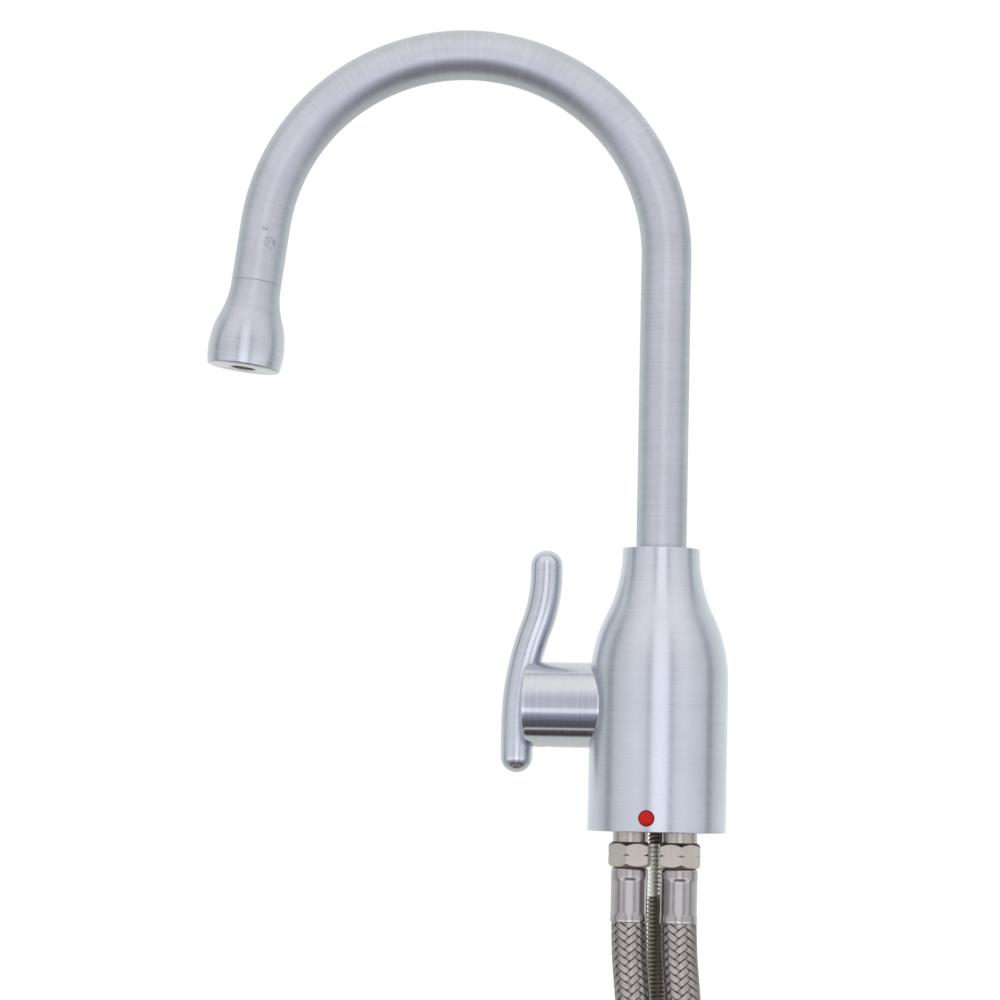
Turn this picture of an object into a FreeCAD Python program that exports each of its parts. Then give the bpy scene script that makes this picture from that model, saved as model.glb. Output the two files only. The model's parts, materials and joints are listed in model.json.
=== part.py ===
import FreeCAD, Part
import math
import os
import types

import Sketcher

# Instant hot water tap: a bottle-shaped body, a swivelling swan-neck spout, a side lever on a
# quarter-turn ceramic valve, two braided hoses and a mounting stud.
# Millimetres and degrees, +Z up. The origin is the centre of the base face, -Y is the front and
# -X is the lever's side. Distances called "out" are measured from the body's axis along -X.

V = FreeCAD.Vector
X_AXIS, Y_AXIS, Z_AXIS = V(1, 0, 0), V(0, 1, 0), V(0, 0, 1)

SIZES = {
    # body: a straight base, an S-shaped shoulder of two equal arcs and a short neck
    "base_radius": 21.9,
    "neck_radius": 12.3,
    "body_height": 89.8,
    "shoulder_start": 48.0,
    "neck_land": 0.9,
    "edge_break": 0.3,
    "base_rim": 5.1,
    "recess_depth": 12.0,
    "base_groove_inset": 2.5,
    "base_groove_width": 2.4,
    "base_groove_depth": 1.9,
    # spout socket and bearing, down from the top of the body
    "socket_depth": 32.4,
    "bearing_depth": 14.4,
    "bearing_radius": 10.2,
    "bearing_drop": 0.7,
    "running_gap": 0.06,
    "seat_gap": 0.02,
    # spout
    "tube_radius": 8.0,
    "tube_wall": 1.5,
    "tube_foot_depth": 16.4,
    "bend_height": 184.0,
    "bend_radius": 65.0,
    "bend_turn": 172.9,
    "outlet_run": 19.4,
    "park_turn": 11.4,
    "foot_gap": 0.4,
    "foot_bore": 4.5,
    "spigot_length": 7.0,
    "lower_seal_down": 28.4,
    "upper_seal_down": 24.0,
    "seal_depth": 1.7,
    "seal_width": 2.2,
    "retainer_down": 19.8,
    "retainer_depth": 1.6,
    "retainer_radius": 1.5,
    "retainer_gap": 0.15,
    "retainer_thread_radius": 2.0,
    "retainer_drop": 0.8,
    # nozzle: a bell of two equal arcs, the second running on past its widest place
    "nozzle_length": 27.9,
    "nozzle_radius": 12.2,
    "bell_start": 0.9,
    "bell_widest": 22.0,
    "lip_round": 0.7,
    "outlet_radius": 4.0,
    "nozzle_chamber_radius": 4.8,
    "nozzle_floor": 4.5,
    "nozzle_seal_drop": 3.4,
    "nozzle_seal_depth": 1.1,
    "nozzle_seal_width": 1.5,
    "straightener_length": 8.0,
    "straightener_wall": 0.8,
    # valve, on an axis along -X
    "valve_height": 39.6,
    "pocket_floor": 16.3,
    "pocket_gap": 0.3,
    "valve_bore_radius": 9.0,
    "valve_bore_floor": 1.0,
    "valve_ring_depth": 1.5,
    "valve_ring_width": 1.9,
    "seat_seal_height": 1.6,
    "disc_height": 3.0,
    "disc_radius": 8.0,
    "disc_hole_radius": 2.1,
    "disc_hole_offset": 4.6,
    "disc_gap": 0.05,
    "drive_width": 3.0,
    "drive_length": 11.0,
    "drive_height": 1.5,
    "housing_wall": 0.9,
    "housing_flange_radius": 11.0,
    "housing_flange_height": 2.6,
    "housing_nose_radius": 6.6,
    "housing_nose": 26.0,
    "spindle_head": 2.4,
    "spindle_radius": 4.0,
    "spindle_end": 39.7,
    "spindle_seal_out": 15.0,
    "spindle_seal_depth": 1.0,
    "spindle_seal_width": 1.6,
    "clip_thickness": 0.9,
    "clip_width": 1.6,
    "clip_depth": 0.7,
    # lever: hub and S-shaped rod in one casting
    "hub_radius": 13.6,
    "hub_start": 16.8,
    "hub_end": 42.2,
    "hub_edge": 0.6,
    "hub_wall": 1.9,
    "hub_cavity_end": 29.0,
    "hub_bore_end": 40.2,
    "rod_radius": 5.1,
    "rod_low_out": 45.7,
    "rod_low_end": 22.9,
    "rod_bend_start": 33.2,
    "rod_top_out": 37.1,
    "rod_top_end": 84.0,
    "rod_low_bend": 90.0,
    "rod_top_bend": 47.0,
    "grub_out": 36.0,
    "grub_radius": 2.5,
    "grub_drop": 0.6,
    "grub_flat": 0.5,
    "grub_flat_width": 5.4,
    "key_radius": 1.2,
    "key_depth": 2.4,
    # hot indicator
    "indicator_height": 4.4,
    "indicator_radius": 2.5,
    "indicator_crown": 0.7,
    "indicator_rim": 0.5,
    "indicator_seat": 0.8,
    "indicator_stem_radius": 1.5,
    "indicator_stem": 3.6,
    # mounting stud
    "stud_radius": 4.0,
    "stud_root_radius": 3.4,
    "stud_back": 9.5,
    "stud_reach": 75.0,
    "stud_engage": 13.0,
    "stud_chamfer": 0.8,
    # waterways
    "waterway_radius": 2.6,
    "port_depth": 11.0,
    "outlet_way_out": 4.6,
    # hose tails
    "hose_spread": 7.9,
    "hose_front": 3.0,
    "tail_thread_radius": 5.0,
    "tail_thread_length": 9.5,
    "tail_collar_radius": 5.5,
    "tail_collar_drop": 3.5,
    "tail_seal_width": 1.3,
    "tail_seal_depth": 0.9,
    "tail_bore": 2.3,
    "hex_flats": 12.5,
    "hex_height": 7.7,
    "hex_chamfer": 0.75,
    "hex_groove": 0.6,
    "bevel_turn": 40.0,
    "left_hex_turn": 29.7,
    "right_hex_turn": 43.1,
    # hoses and their crimped sleeves
    "hose_radius": 5.4,
    "hose_bore": 3.5,
    "nipple_gap": 0.05,
    "ferrule_length": 17.3,
    "ferrule_radius": 5.85,
    "ferrule_bell": 0.08,
    "ferrule_round": 1.2,
    "ferrule_cap": 1.4,
    "crimp_start": 2.8,
    "crimp_end": 15.4,
    "crimp_flats": 11.24,
    "crimp_turn": 11.5,
    # put-away coil of each hose
    "coil_radius": 55.0,
    "coil_step": 13.0,
    "coil_tail": 34.0,
    # union at each hose's far end
    "union_collar": 2.4,
    "union_neck_radius": 4.7,
    "union_neck": 4.4,
    "union_flange_radius": 7.1,
    "union_flange": 2.0,
    "union_washer": 2.0,
    "union_gap": 0.25,
    "nut_flats": 19.0,
    "nut_wall": 3.6,
    "nut_thread_radius": 7.5,
    "nut_thread_length": 8.0,
    "nut_relief_radius": 7.9,
    "nut_relief_gap": 0.2,
    "nut_chamfer": 1.2,
    # strap round the put-away lengths
    "strap_wall": 1.2,
    "strap_width": 6.0,
    "strap_gap": 0.3,
}

# Where each hose goes below its sleeve, as chosen by eye: across and up or down, at the hoses' depth
LEFT_ROUTE = ((-7.9, -34.0), (-6.3, -50.0), (-4.8, -66.0), (-3.6, -98.0), (-3.6, -136.0))
RIGHT_ROUTE = ((7.9, -34.0), (9.5, -50.0), (11.0, -66.0), (12.2, -98.0), (12.2, -136.0))
HOSES = (("left", -1, LEFT_ROUTE), ("right", 1, RIGHT_ROUTE))


class Size:
    """A length or an angle, with the expression that ties it to the sheet."""

    def __init__(self, text, value):
        self.text = text
        self.value = value

    def __add__(self, other):
        other = sized(other)
        return Size(f"({self.text} + {other.text})", self.value + other.value)

    def __sub__(self, other):
        other = sized(other)
        return Size(f"({self.text} - {other.text})", self.value - other.value)

    def __rsub__(self, other):
        return sized(other) - self

    def __mul__(self, other):
        other = sized(other)
        return Size(f"({self.text} * {other.text})", self.value * other.value)

    def __truediv__(self, other):
        other = sized(other)
        return Size(f"({self.text} / {other.text})", self.value / other.value)

    def __neg__(self):
        return sized(0) - self

    __radd__ = __add__
    __rmul__ = __mul__


def sized(number):
    return number if isinstance(number, Size) else Size(repr(float(number)), float(number))


def cosine(angle):
    return Size(f"cos({angle.text})", math.cos(math.radians(angle.value)))


def sine(angle):
    return Size(f"sin({angle.text})", math.sin(math.radians(angle.value)))


def root(size):
    return Size(f"sqrt({size.text})", math.sqrt(size.value))


def s_bend_radius(across, along):
    """The radius of two equal arcs that shift a line sideways and leave it parallel."""
    return (across * across + along * along) / (4 * across)


def dome_radius(half_width, crown):
    return (half_width * half_width + crown * crown) / (2 * crown)


doc = FreeCAD.newDocument("instant_hot_water_tap")
sheet = doc.addObject("Spreadsheet::Sheet", "sizes")
for row, (name, number) in enumerate(SIZES.items(), start=1):
    sheet.set(f"A{row}", name.replace("_", " "))
    sheet.set(f"B{row}", str(number))
    sheet.setAlias(f"B{row}", name)
doc.recompute()
s = types.SimpleNamespace(**{name: Size(f"sizes.{name}", number) for name, number in SIZES.items()})

pieces = []
cuts = []


# Sketches and features

def new_body(label):
    body = doc.addObject("PartDesign::Body", label)
    body.Label = label
    pieces.append(body)
    return body


def new_sketch(body, role, offset=None):
    """An empty sketch on one of the body's own origin planes, moved along its normal by an offset."""
    sketch = body.newObject("Sketcher::SketchObject", f"{body.Name}_sketch")
    plane = next(f for f in body.Origin.OriginFeatures if f.Role == role)
    sketch.AttachmentSupport = [(plane, "")]
    sketch.MapMode = "FlatFace"
    if offset is not None:
        sketch.setExpression("AttachmentOffset.Base.z", sized(offset).text)
    return sketch


def hold(sketch, rules):
    """Adds constraints, and ties each that has a size to the sheet."""
    first = sketch.ConstraintCount
    sketch.addConstraint([rule for rule, size in rules])
    for index, (rule, size) in enumerate(rules, start=first):
        if size is not None:
            sketch.setExpression(f"Constraints[{index}]", size.text)


def place_point(geometry, end, x, y):
    """Constraints that put one point of a sketch at x, y."""
    rules = []
    for kind, size, axis in (("DistanceX", sized(x), -2), ("DistanceY", sized(y), -1)):
        if size.value == 0 and not isinstance(x if axis == -2 else y, Size):
            rules.append((Sketcher.Constraint("PointOnObject", geometry, end, axis), None))
        else:
            rules.append((Sketcher.Constraint(kind, geometry, end, size.value), size))
    return rules


def arc_between(start, end, radius, turn):
    """An arc of under half a circle from start to end, turning left (1) or right (-1)."""
    half = (end - start) / 2
    left = V(-half.y, half.x, 0).normalize()
    rise = math.sqrt(max(radius ** 2 - half.Length ** 2, 0))
    centre = start + half + left * rise * turn
    first, last = (start, end) if turn > 0 else (end, start)
    angles = [math.atan2(p.y - centre.y, p.x - centre.x) for p in (first, last)]
    return Part.ArcOfCircle(Part.Circle(centre, Z_AXIS, radius), *angles)


def draw(sketch, corners, arcs=None, closed=True):
    """Draws lines from corner to corner; arcs holds the radius and turn of those that are round."""
    arcs = arcs or {}
    first = sketch.GeometryCount
    points = [V(sized(x).value, sized(y).value, 0) for x, y in corners]
    count = len(corners) if closed else len(corners) - 1
    ends, rules = [], []
    for i in range(count):
        start, end = points[i], points[(i + 1) % len(points)]
        if i in arcs:
            radius, turn = arcs[i]
            sketch.addGeometry(arc_between(start, end, radius.value, turn), False)
            rules.append((Sketcher.Constraint("Radius", first + i, radius.value), radius))
            ends.append((1, 2) if turn > 0 else (2, 1))
        else:
            sketch.addGeometry(Part.LineSegment(start, end), False)
            ends.append((1, 2))
    for i in range(count if closed else count - 1):
        after = (i + 1) % count
        joined = (first + i, ends[i][1], first + after, ends[after][0])
        rules.append((Sketcher.Constraint("Coincident", *joined), None))
    for i in range(count):
        rules += place_point(first + i, ends[i][0], *corners[i])
    if not closed:
        rules += place_point(first + count - 1, ends[-1][1], *corners[-1])
    hold(sketch, rules)


def draw_circle(sketch, x, y, radius):
    centre = V(sized(x).value, sized(y).value, 0)
    index = sketch.addGeometry(Part.Circle(centre, Z_AXIS, radius.value), False)
    radius_rule = (Sketcher.Constraint("Radius", index, radius.value), radius)
    hold(sketch, place_point(index, 3, x, y) + [radius_rule])


def turned(body, corners, arcs=None, axis="V_Axis"):
    """A solid of revolution from an outline of radii and heights."""
    sketch = new_sketch(body, "XZ_Plane")
    draw(sketch, corners, arcs)
    feature = body.newObject("PartDesign::Revolution", f"{body.Name}_turned")
    feature.Profile = sketch
    feature.ReferenceAxis = (sketch, [axis])
    feature.Angle = 360
    return feature


def turned_off(body, corners):
    """A ring cut away round the body's axis."""
    sketch = new_sketch(body, "XZ_Plane")
    draw(sketch, corners)
    feature = body.newObject("PartDesign::Groove", f"{body.Name}_groove")
    feature.Profile = sketch
    feature.ReferenceAxis = (sketch, ["V_Axis"])
    feature.Angle = 360
    cuts.append(feature)
    return feature


def padded(body, sketch, length, along_normal=True):
    feature = body.newObject("PartDesign::Pad", f"{body.Name}_pad")
    feature.Profile = sketch
    feature.Reversed = not along_normal
    feature.setExpression("Length", sized(length).text)
    return feature


def pocketed(body, sketch, length, along_normal=True):
    feature = body.newObject("PartDesign::Pocket", f"{body.Name}_pocket")
    feature.Profile = sketch
    feature.Reversed = along_normal
    feature.setExpression("Length", sized(length).text)
    cuts.append(feature)
    return feature


def drilled(body, role, offset, holes, length, along_normal=True):
    """Round holes of x, y and radius, from a plane at an offset."""
    sketch = new_sketch(body, role, offset)
    for x, y, radius in holes:
        draw_circle(sketch, x, y, radius)
    return pocketed(body, sketch, length, along_normal)


def hexagon(flats, turn):
    """The corners of a hexagon, its first corner turned from +X."""
    reach = flats / math.sqrt(3)
    angles = [turn + 60 * corner for corner in range(6)]
    return [(reach * cosine(angle), reach * sine(angle)) for angle in angles]


def piped(body, profile, spine):
    feature = body.newObject("PartDesign::AdditivePipe", f"{body.Name}_pipe")
    feature.Profile = profile
    feature.Spine = (spine, [f"Edge{i + 1}" for i in range(spine.GeometryCount)])
    return feature


def ring_seal(label, ring_radius, section_radius):
    """An O-ring about the local Z axis."""
    seal = doc.addObject("Part::Torus", label)
    seal.Label = label
    seal.setExpression("Radius1", ring_radius.text)
    seal.setExpression("Radius2", section_radius.text)
    pieces.append(seal)
    return seal


def place(piece, x, y, z, axis=Z_AXIS, turn=0.0):
    base = V(sized(x).value, sized(y).value, sized(z).value)
    piece.Placement = FreeCAD.Placement(base, FreeCAD.Rotation(axis, sized(turn).value))


def place_on_spout(piece, placement=None):
    """Turns a piece of the spout to where the spout is parked, about the body's axis."""
    parked = FreeCAD.Placement(V(0, 0, 0), FreeCAD.Rotation(Z_AXIS, s.park_turn.value))
    piece.Placement = parked.multiply(placement or FreeCAD.Placement())


def place_on_valve(piece, out=0):
    """Turns a piece's +Z outwards along the valve's axis."""
    place(piece, -sized(out), 0, s.valve_height, Y_AXIS, -90)


# Sizes that several pieces share

recess_radius = s.base_radius - s.base_rim
base_groove_radius = s.base_radius - s.base_groove_inset
socket_floor = s.body_height - s.socket_depth
bearing_floor = s.body_height - s.bearing_depth
tube_foot = s.body_height - s.tube_foot_depth
lower_seal_height = s.body_height - s.lower_seal_down
upper_seal_height = s.body_height - s.upper_seal_down
retainer_height = s.body_height - s.retainer_down
neck_top = s.body_height - s.neck_land
shoulder_arc = s_bend_radius(s.base_radius - s.neck_radius, neck_top - s.shoulder_start)
socket_radius = s.tube_radius + s.running_gap
tube_bore = s.tube_radius - s.tube_wall
pocket_radius = s.hub_radius + s.pocket_gap
seat_seal_top = s.valve_bore_floor + s.seat_seal_height
fixed_disc_top = seat_seal_top + s.disc_height
moving_disc_top = fixed_disc_top + s.disc_gap + s.disc_height
spindle_head_top = moving_disc_top + s.disc_gap + s.spindle_head
housing_radius = s.valve_bore_radius - s.seat_gap
housing_cavity = housing_radius - s.housing_wall
spindle_hole = s.spindle_radius + s.running_gap
flange_top = s.pocket_floor + s.housing_flange_height
port_top = s.recess_depth + s.port_depth
hex_bottom = -(s.tail_collar_drop + s.hex_height)
ferrule_bottom = hex_bottom - s.ferrule_length
nipple_radius = s.hose_bore - s.nipple_gap
valve_ring_radius = s.valve_bore_radius + s.valve_ring_width / 2


# Body

def shoulder_radius_at(height):
    """The body's outer radius at a height on the upper, hollow half of the shoulder."""
    below = neck_top - height
    return s.neck_radius + shoulder_arc - root(shoulder_arc * shoulder_arc - below * below)


def make_tap_body():
    body = new_body("tap_body")
    groove_inner = base_groove_radius - s.base_groove_width / 2
    groove_outer = base_groove_radius + s.base_groove_width / 2
    shoulder_middle = ((s.base_radius + s.neck_radius) / 2, (s.shoulder_start + neck_top) / 2)
    corners = [
        (0, s.recess_depth),
        (recess_radius, s.recess_depth),
        (recess_radius, 0),
        (groove_inner, 0),
        (groove_inner, s.base_groove_depth),
        (groove_outer, s.base_groove_depth),
        (groove_outer, 0),
        (s.base_radius - s.edge_break, 0),
        (s.base_radius, s.edge_break),
        (s.base_radius, s.shoulder_start),
        shoulder_middle,
        (s.neck_radius, neck_top),
        (s.neck_radius, s.body_height - s.edge_break),
        (s.neck_radius - s.edge_break, s.body_height),
        (s.bearing_radius, s.body_height),
        (s.bearing_radius, bearing_floor),
        (socket_radius, bearing_floor),
        (socket_radius, socket_floor),
        (0, socket_floor),
    ]
    turned(body, corners, {9: (shoulder_arc, 1), 10: (shoulder_arc, -1)})

    # lever pocket, valve bore with its seal groove, and the drilling to the valve's inner end
    clear = s.base_radius + s.edge_break
    valve = (0, s.valve_height)
    drilled(body, "YZ_Plane", -clear, [(*valve, pocket_radius)], clear - s.pocket_floor)
    bore_length = s.pocket_floor - s.valve_bore_floor
    drilled(body, "YZ_Plane", -s.pocket_floor, [(*valve, s.valve_bore_radius)], bore_length)
    ring_outer = s.valve_bore_radius + s.valve_ring_width
    drilled(body, "YZ_Plane", -s.pocket_floor, [(*valve, ring_outer)], s.valve_ring_depth)
    inlet = s.valve_bore_floor + s.hose_spread
    drilled(body, "YZ_Plane", -s.valve_bore_floor, [(*valve, s.waterway_radius)], inlet)

    # threaded ports for the hose tails and the stud
    tail_hole = s.tail_thread_radius + s.seat_gap
    ports = [(side * s.hose_spread, -s.hose_front, tail_hole) for name, side, route in HOSES]
    drilled(body, "XY_Plane", s.recess_depth, ports, s.port_depth)
    stud_hole = (0, s.stud_back, s.stud_root_radius + s.seat_gap)
    drilled(body, "XY_Plane", s.recess_depth, [stud_hole], s.stud_engage)

    # waterways: the left port to the valve bore's side, the right port to its inner end, and from
    # the valve bore's side up to the spout
    reach_in = s.valve_bore_radius - s.waterway_radius
    left = (-s.hose_spread, -s.hose_front, s.waterway_radius)
    right = (s.hose_spread, -s.hose_front, s.waterway_radius)
    drilled(body, "XY_Plane", port_top, [left], s.valve_height - reach_in - port_top)
    drilled(body, "XY_Plane", port_top, [right], s.valve_height + s.waterway_radius - port_top)
    outlet = (-s.outlet_way_out, 0, s.waterway_radius)
    fall = socket_floor - s.valve_height - reach_in
    drilled(body, "XY_Plane", socket_floor, [outlet], fall, along_normal=False)

    # seat and hole of the hot indicator, at the front
    front = (0, s.indicator_height)
    seat = [(*front, s.indicator_radius + s.seat_gap)]
    into_seat = s.indicator_seat + s.edge_break
    drilled(body, "XZ_Plane", clear, seat, into_seat, along_normal=False)
    stem = [(*front, s.indicator_stem_radius + s.seat_gap)]
    seat_at = s.base_radius - s.indicator_seat
    drilled(body, "XZ_Plane", seat_at, stem, seat_at - recess_radius, along_normal=False)

    # hole of the spout's retaining screw, at the back
    screw = [(0, retainer_height, s.retainer_thread_radius + s.seat_gap)]
    into_groove = s.base_radius - s.tube_radius + s.retainer_depth
    drilled(body, "XZ_Plane", -s.base_radius, screw, into_groove)


def make_base_seal():
    section = s.base_groove_depth / 2 - s.seat_gap
    seal = ring_seal("base_seal", base_groove_radius, section)
    place(seal, 0, 0, s.base_groove_depth / 2)


def make_hot_indicator():
    body = new_body("hot_indicator")
    corners = [
        (0, -s.indicator_stem),
        (s.indicator_stem_radius, -s.indicator_stem),
        (s.indicator_stem_radius, 0),
        (s.indicator_radius, 0),
        (s.indicator_radius, s.indicator_rim),
        (0, s.indicator_rim + s.indicator_crown),
    ]
    turned(body, corners, {4: (dome_radius(s.indicator_radius, s.indicator_crown), 1)})
    place(body, 0, s.indicator_seat - s.base_radius, s.indicator_height, X_AXIS, 90)


def make_mounting_stud():
    body = new_body("mounting_stud")
    top = s.recess_depth + s.stud_engage
    corners = [
        (0, -s.stud_reach),
        (s.stud_radius - s.stud_chamfer, -s.stud_reach),
        (s.stud_radius, s.stud_chamfer - s.stud_reach),
        (s.stud_radius, s.recess_depth),
        (s.stud_root_radius, s.recess_depth),
        (s.stud_root_radius, top),
        (0, top),
    ]
    turned(body, corners)
    place(body, 0, s.stud_back, 0)


# Spout

def bend_end():
    """The end of the swan neck's bend, out from the axis and up."""
    out = s.bend_radius * (1 - cosine(s.bend_turn))
    return out, s.bend_height + s.bend_radius * sine(s.bend_turn)


def tube_end():
    """The end of the tube, where the nozzle's seam is."""
    out, height = bend_end()
    return out + s.outlet_run * sine(s.bend_turn), height + s.outlet_run * cosine(s.bend_turn)


def nozzle_placement():
    out, height = tube_end()
    turn = FreeCAD.Rotation(Y_AXIS, 360 - s.bend_turn.value)
    return FreeCAD.Placement(V(-out.value, 0, height.value), turn)


def make_spout_tube():
    body = new_body("spout_tube")
    profile = new_sketch(body, "XY_Plane", tube_foot)
    draw_circle(profile, 0, 0, s.tube_radius)
    draw_circle(profile, 0, 0, tube_bore)
    spine = new_sketch(body, "XZ_Plane")
    bend_out, bend_up = bend_end()
    out, height = tube_end()
    route = [(0, tube_foot), (0, s.bend_height), (-bend_out, bend_up), (-out, height)]
    draw(spine, route, {1: (s.bend_radius, 1)}, closed=False)
    piped(body, profile, spine)
    place_on_spout(body)


def make_spout_foot():
    body = new_body("spout_foot")
    bottom = socket_floor + s.foot_gap
    spigot = tube_bore - s.seat_gap
    corners = [(s.foot_bore, bottom), (s.tube_radius, bottom)]
    slots = (
        (lower_seal_height, s.seal_width / 2, s.seal_depth),
        (upper_seal_height, s.seal_width / 2, s.seal_depth),
        (retainer_height, s.retainer_radius + s.retainer_gap, s.retainer_depth),
    )
    for height, half_width, depth in slots:
        floor = s.tube_radius - depth
        corners += [
            (s.tube_radius, height - half_width),
            (floor, height - half_width),
            (floor, height + half_width),
            (s.tube_radius, height + half_width),
        ]
    corners += [
        (s.tube_radius, tube_foot),
        (spigot, tube_foot),
        (spigot, tube_foot + s.spigot_length),
        (s.foot_bore, tube_foot + s.spigot_length),
    ]
    turned(body, corners)
    place_on_spout(body)
    for name, height in (("lower", lower_seal_height), ("upper", upper_seal_height)):
        middle = s.tube_radius - s.seal_depth / 2
        seal = ring_seal(f"{name}_spout_seal", middle, s.seal_depth / 2 - s.seat_gap)
        place(seal, 0, 0, height)


def make_spout_bearing():
    body = new_body("spout_bearing")
    top = s.body_height - s.bearing_drop
    outer = s.bearing_radius - s.seat_gap
    corners = [
        (socket_radius, bearing_floor),
        (outer, bearing_floor),
        (outer, top),
        (socket_radius + s.edge_break, top),
        (socket_radius, top - s.edge_break),
    ]
    turned(body, corners)


def make_spout_retaining_screw():
    body = new_body("spout_retaining_screw")
    tip = s.tube_radius - s.retainer_depth + s.retainer_gap
    thread = socket_radius + s.edge_break
    end = shoulder_radius_at(retainer_height) - s.retainer_drop
    corners = [
        (0, tip),
        (s.retainer_radius, tip),
        (s.retainer_radius, thread),
        (s.retainer_thread_radius, thread),
        (s.retainer_thread_radius, end),
        (s.key_radius, end),
        (s.key_radius, end - s.key_depth),
        (0, end - s.key_depth),
    ]
    turned(body, corners)
    place(body, 0, 0, retainer_height, X_AXIS, -90)


def make_spout_nozzle():
    body = new_body("spout_nozzle")
    across, along = s.nozzle_radius - s.tube_radius, s.bell_widest - s.bell_start
    bell_arc = s_bend_radius(across, along)
    middle = ((s.tube_radius + s.nozzle_radius) / 2, (s.bell_start + s.bell_widest) / 2)
    lip = s.nozzle_length - s.lip_round
    past = lip - s.bell_widest
    lip_radius = s.nozzle_radius - bell_arc + root(bell_arc * bell_arc - past * past)
    spigot = tube_bore - s.seat_gap
    ring_floor = spigot - s.nozzle_seal_depth
    ring_half = s.nozzle_seal_width / 2
    chamber_end = s.nozzle_length - s.nozzle_floor
    corners = [
        (s.tube_radius, 0),
        (s.tube_radius, s.bell_start),
        middle,
        (s.nozzle_radius, s.bell_widest),
        (lip_radius, lip),
        (lip_radius - s.lip_round, s.nozzle_length),
        (s.outlet_radius + s.edge_break, s.nozzle_length),
        (s.outlet_radius, s.nozzle_length - s.edge_break),
        (s.outlet_radius, chamber_end),
        (s.nozzle_chamber_radius, chamber_end),
        (s.nozzle_chamber_radius, -s.spigot_length),
        (spigot, -s.spigot_length),
        (spigot, -s.nozzle_seal_drop - ring_half),
        (ring_floor, -s.nozzle_seal_drop - ring_half),
        (ring_floor, -s.nozzle_seal_drop + ring_half),
        (spigot, -s.nozzle_seal_drop + ring_half),
        (spigot, 0),
    ]
    arcs = {1: (bell_arc, -1), 2: (bell_arc, 1), 3: (bell_arc, 1), 4: (s.lip_round, 1)}
    turned(body, corners, arcs)
    place_on_spout(body, nozzle_placement())

    seal = ring_seal("nozzle_seal", spigot - s.nozzle_seal_depth / 2, s.nozzle_seal_depth / 2 - s.seat_gap)
    down = FreeCAD.Placement(V(0, 0, -s.nozzle_seal_drop.value), FreeCAD.Rotation())
    place_on_spout(seal, nozzle_placement().multiply(down))


def make_flow_straightener():
    """A sleeve with crossed vanes, resting on the shoulder of the nozzle's outlet."""
    body = new_body("flow_straightener")
    outer = s.nozzle_chamber_radius - s.seat_gap
    start = s.nozzle_length - s.nozzle_floor - s.straightener_length
    sketch = new_sketch(body, "XY_Plane", start)
    draw_circle(sketch, 0, 0, outer)
    half = s.straightener_wall / 2
    reach = outer - s.straightener_wall
    chord = root(reach * reach - half * half)
    turns = ((1, 1), (-1, 1), (-1, -1), (1, -1))
    for across, up in turns:
        corners = [(across * half, up * half), (across * chord, up * half), (across * half, up * chord)]
        draw(sketch, corners, {1: (reach, across * up)})
    padded(body, sketch, s.straightener_length)
    place_on_spout(body, nozzle_placement())


# Valve

def make_cartridge():
    housing = new_body("cartridge_housing")
    corners = [
        (housing_cavity, seat_seal_top),
        (housing_radius, seat_seal_top),
        (housing_radius, s.pocket_floor),
        (s.housing_flange_radius, s.pocket_floor),
        (s.housing_flange_radius, flange_top),
        (s.housing_nose_radius, flange_top),
        (s.housing_nose_radius, s.housing_nose),
        (spindle_hole, s.housing_nose),
        (spindle_hole, spindle_head_top + s.disc_gap),
        (housing_cavity, spindle_head_top + s.disc_gap),
    ]
    turned(housing, corners)
    # two windows that let water out of the housing's side, past the moving disc
    window = new_sketch(housing, "XZ_Plane", s.valve_bore_radius)
    half = s.disc_hole_radius
    low, high = fixed_disc_top + s.disc_gap, spindle_head_top
    draw(window, [(-half, low), (half, low), (half, high), (-half, high)])
    pocketed(housing, window, 2 * s.valve_bore_radius, along_normal=False)
    place_on_valve(housing)

    seat_seal = new_body("cartridge_seat_seal")
    inner = s.waterway_radius + s.housing_wall
    low = s.valve_bore_floor
    ring = [(inner, low), (housing_radius, low), (housing_radius, seat_seal_top), (inner, seat_seal_top)]
    turned(seat_seal, ring)
    place_on_valve(seat_seal)

    section = s.valve_ring_depth / 2 - s.seat_gap
    o_ring = ring_seal("cartridge_o_ring", valve_ring_radius, section)
    place_on_valve(o_ring, s.pocket_floor - s.valve_ring_depth / 2)


def make_discs():
    """Each disc has two holes; the moving disc's stand a quarter turn from the fixed one's."""
    fixed = new_body("fixed_disc")
    sketch = new_sketch(fixed, "XY_Plane", seat_seal_top)
    draw_circle(sketch, 0, 0, housing_cavity - s.seat_gap)
    for side in (-1, 1):
        draw_circle(sketch, side * s.disc_hole_offset, 0, s.disc_hole_radius)
    padded(fixed, sketch, s.disc_height)
    place_on_valve(fixed)

    moving = new_body("moving_disc")
    sketch = new_sketch(moving, "XY_Plane", fixed_disc_top + s.disc_gap)
    draw_circle(sketch, 0, 0, s.disc_radius - s.disc_gap)
    for side in (-1, 1):
        draw_circle(sketch, 0, side * s.disc_hole_offset, s.disc_hole_radius)
    padded(moving, sketch, s.disc_height)
    slot = new_sketch(moving, "XY_Plane", moving_disc_top)
    draw(slot, drive_outline(s.seat_gap))
    pocketed(moving, slot, s.drive_height, along_normal=False)
    place_on_valve(moving)


def drive_outline(gap):
    """The tongue between spindle and moving disc, square to the disc's two holes."""
    across, along = s.drive_length / 2 + gap, s.drive_width / 2 + gap
    return [(-across, -along), (across, -along), (across, along), (-across, along)]


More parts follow.
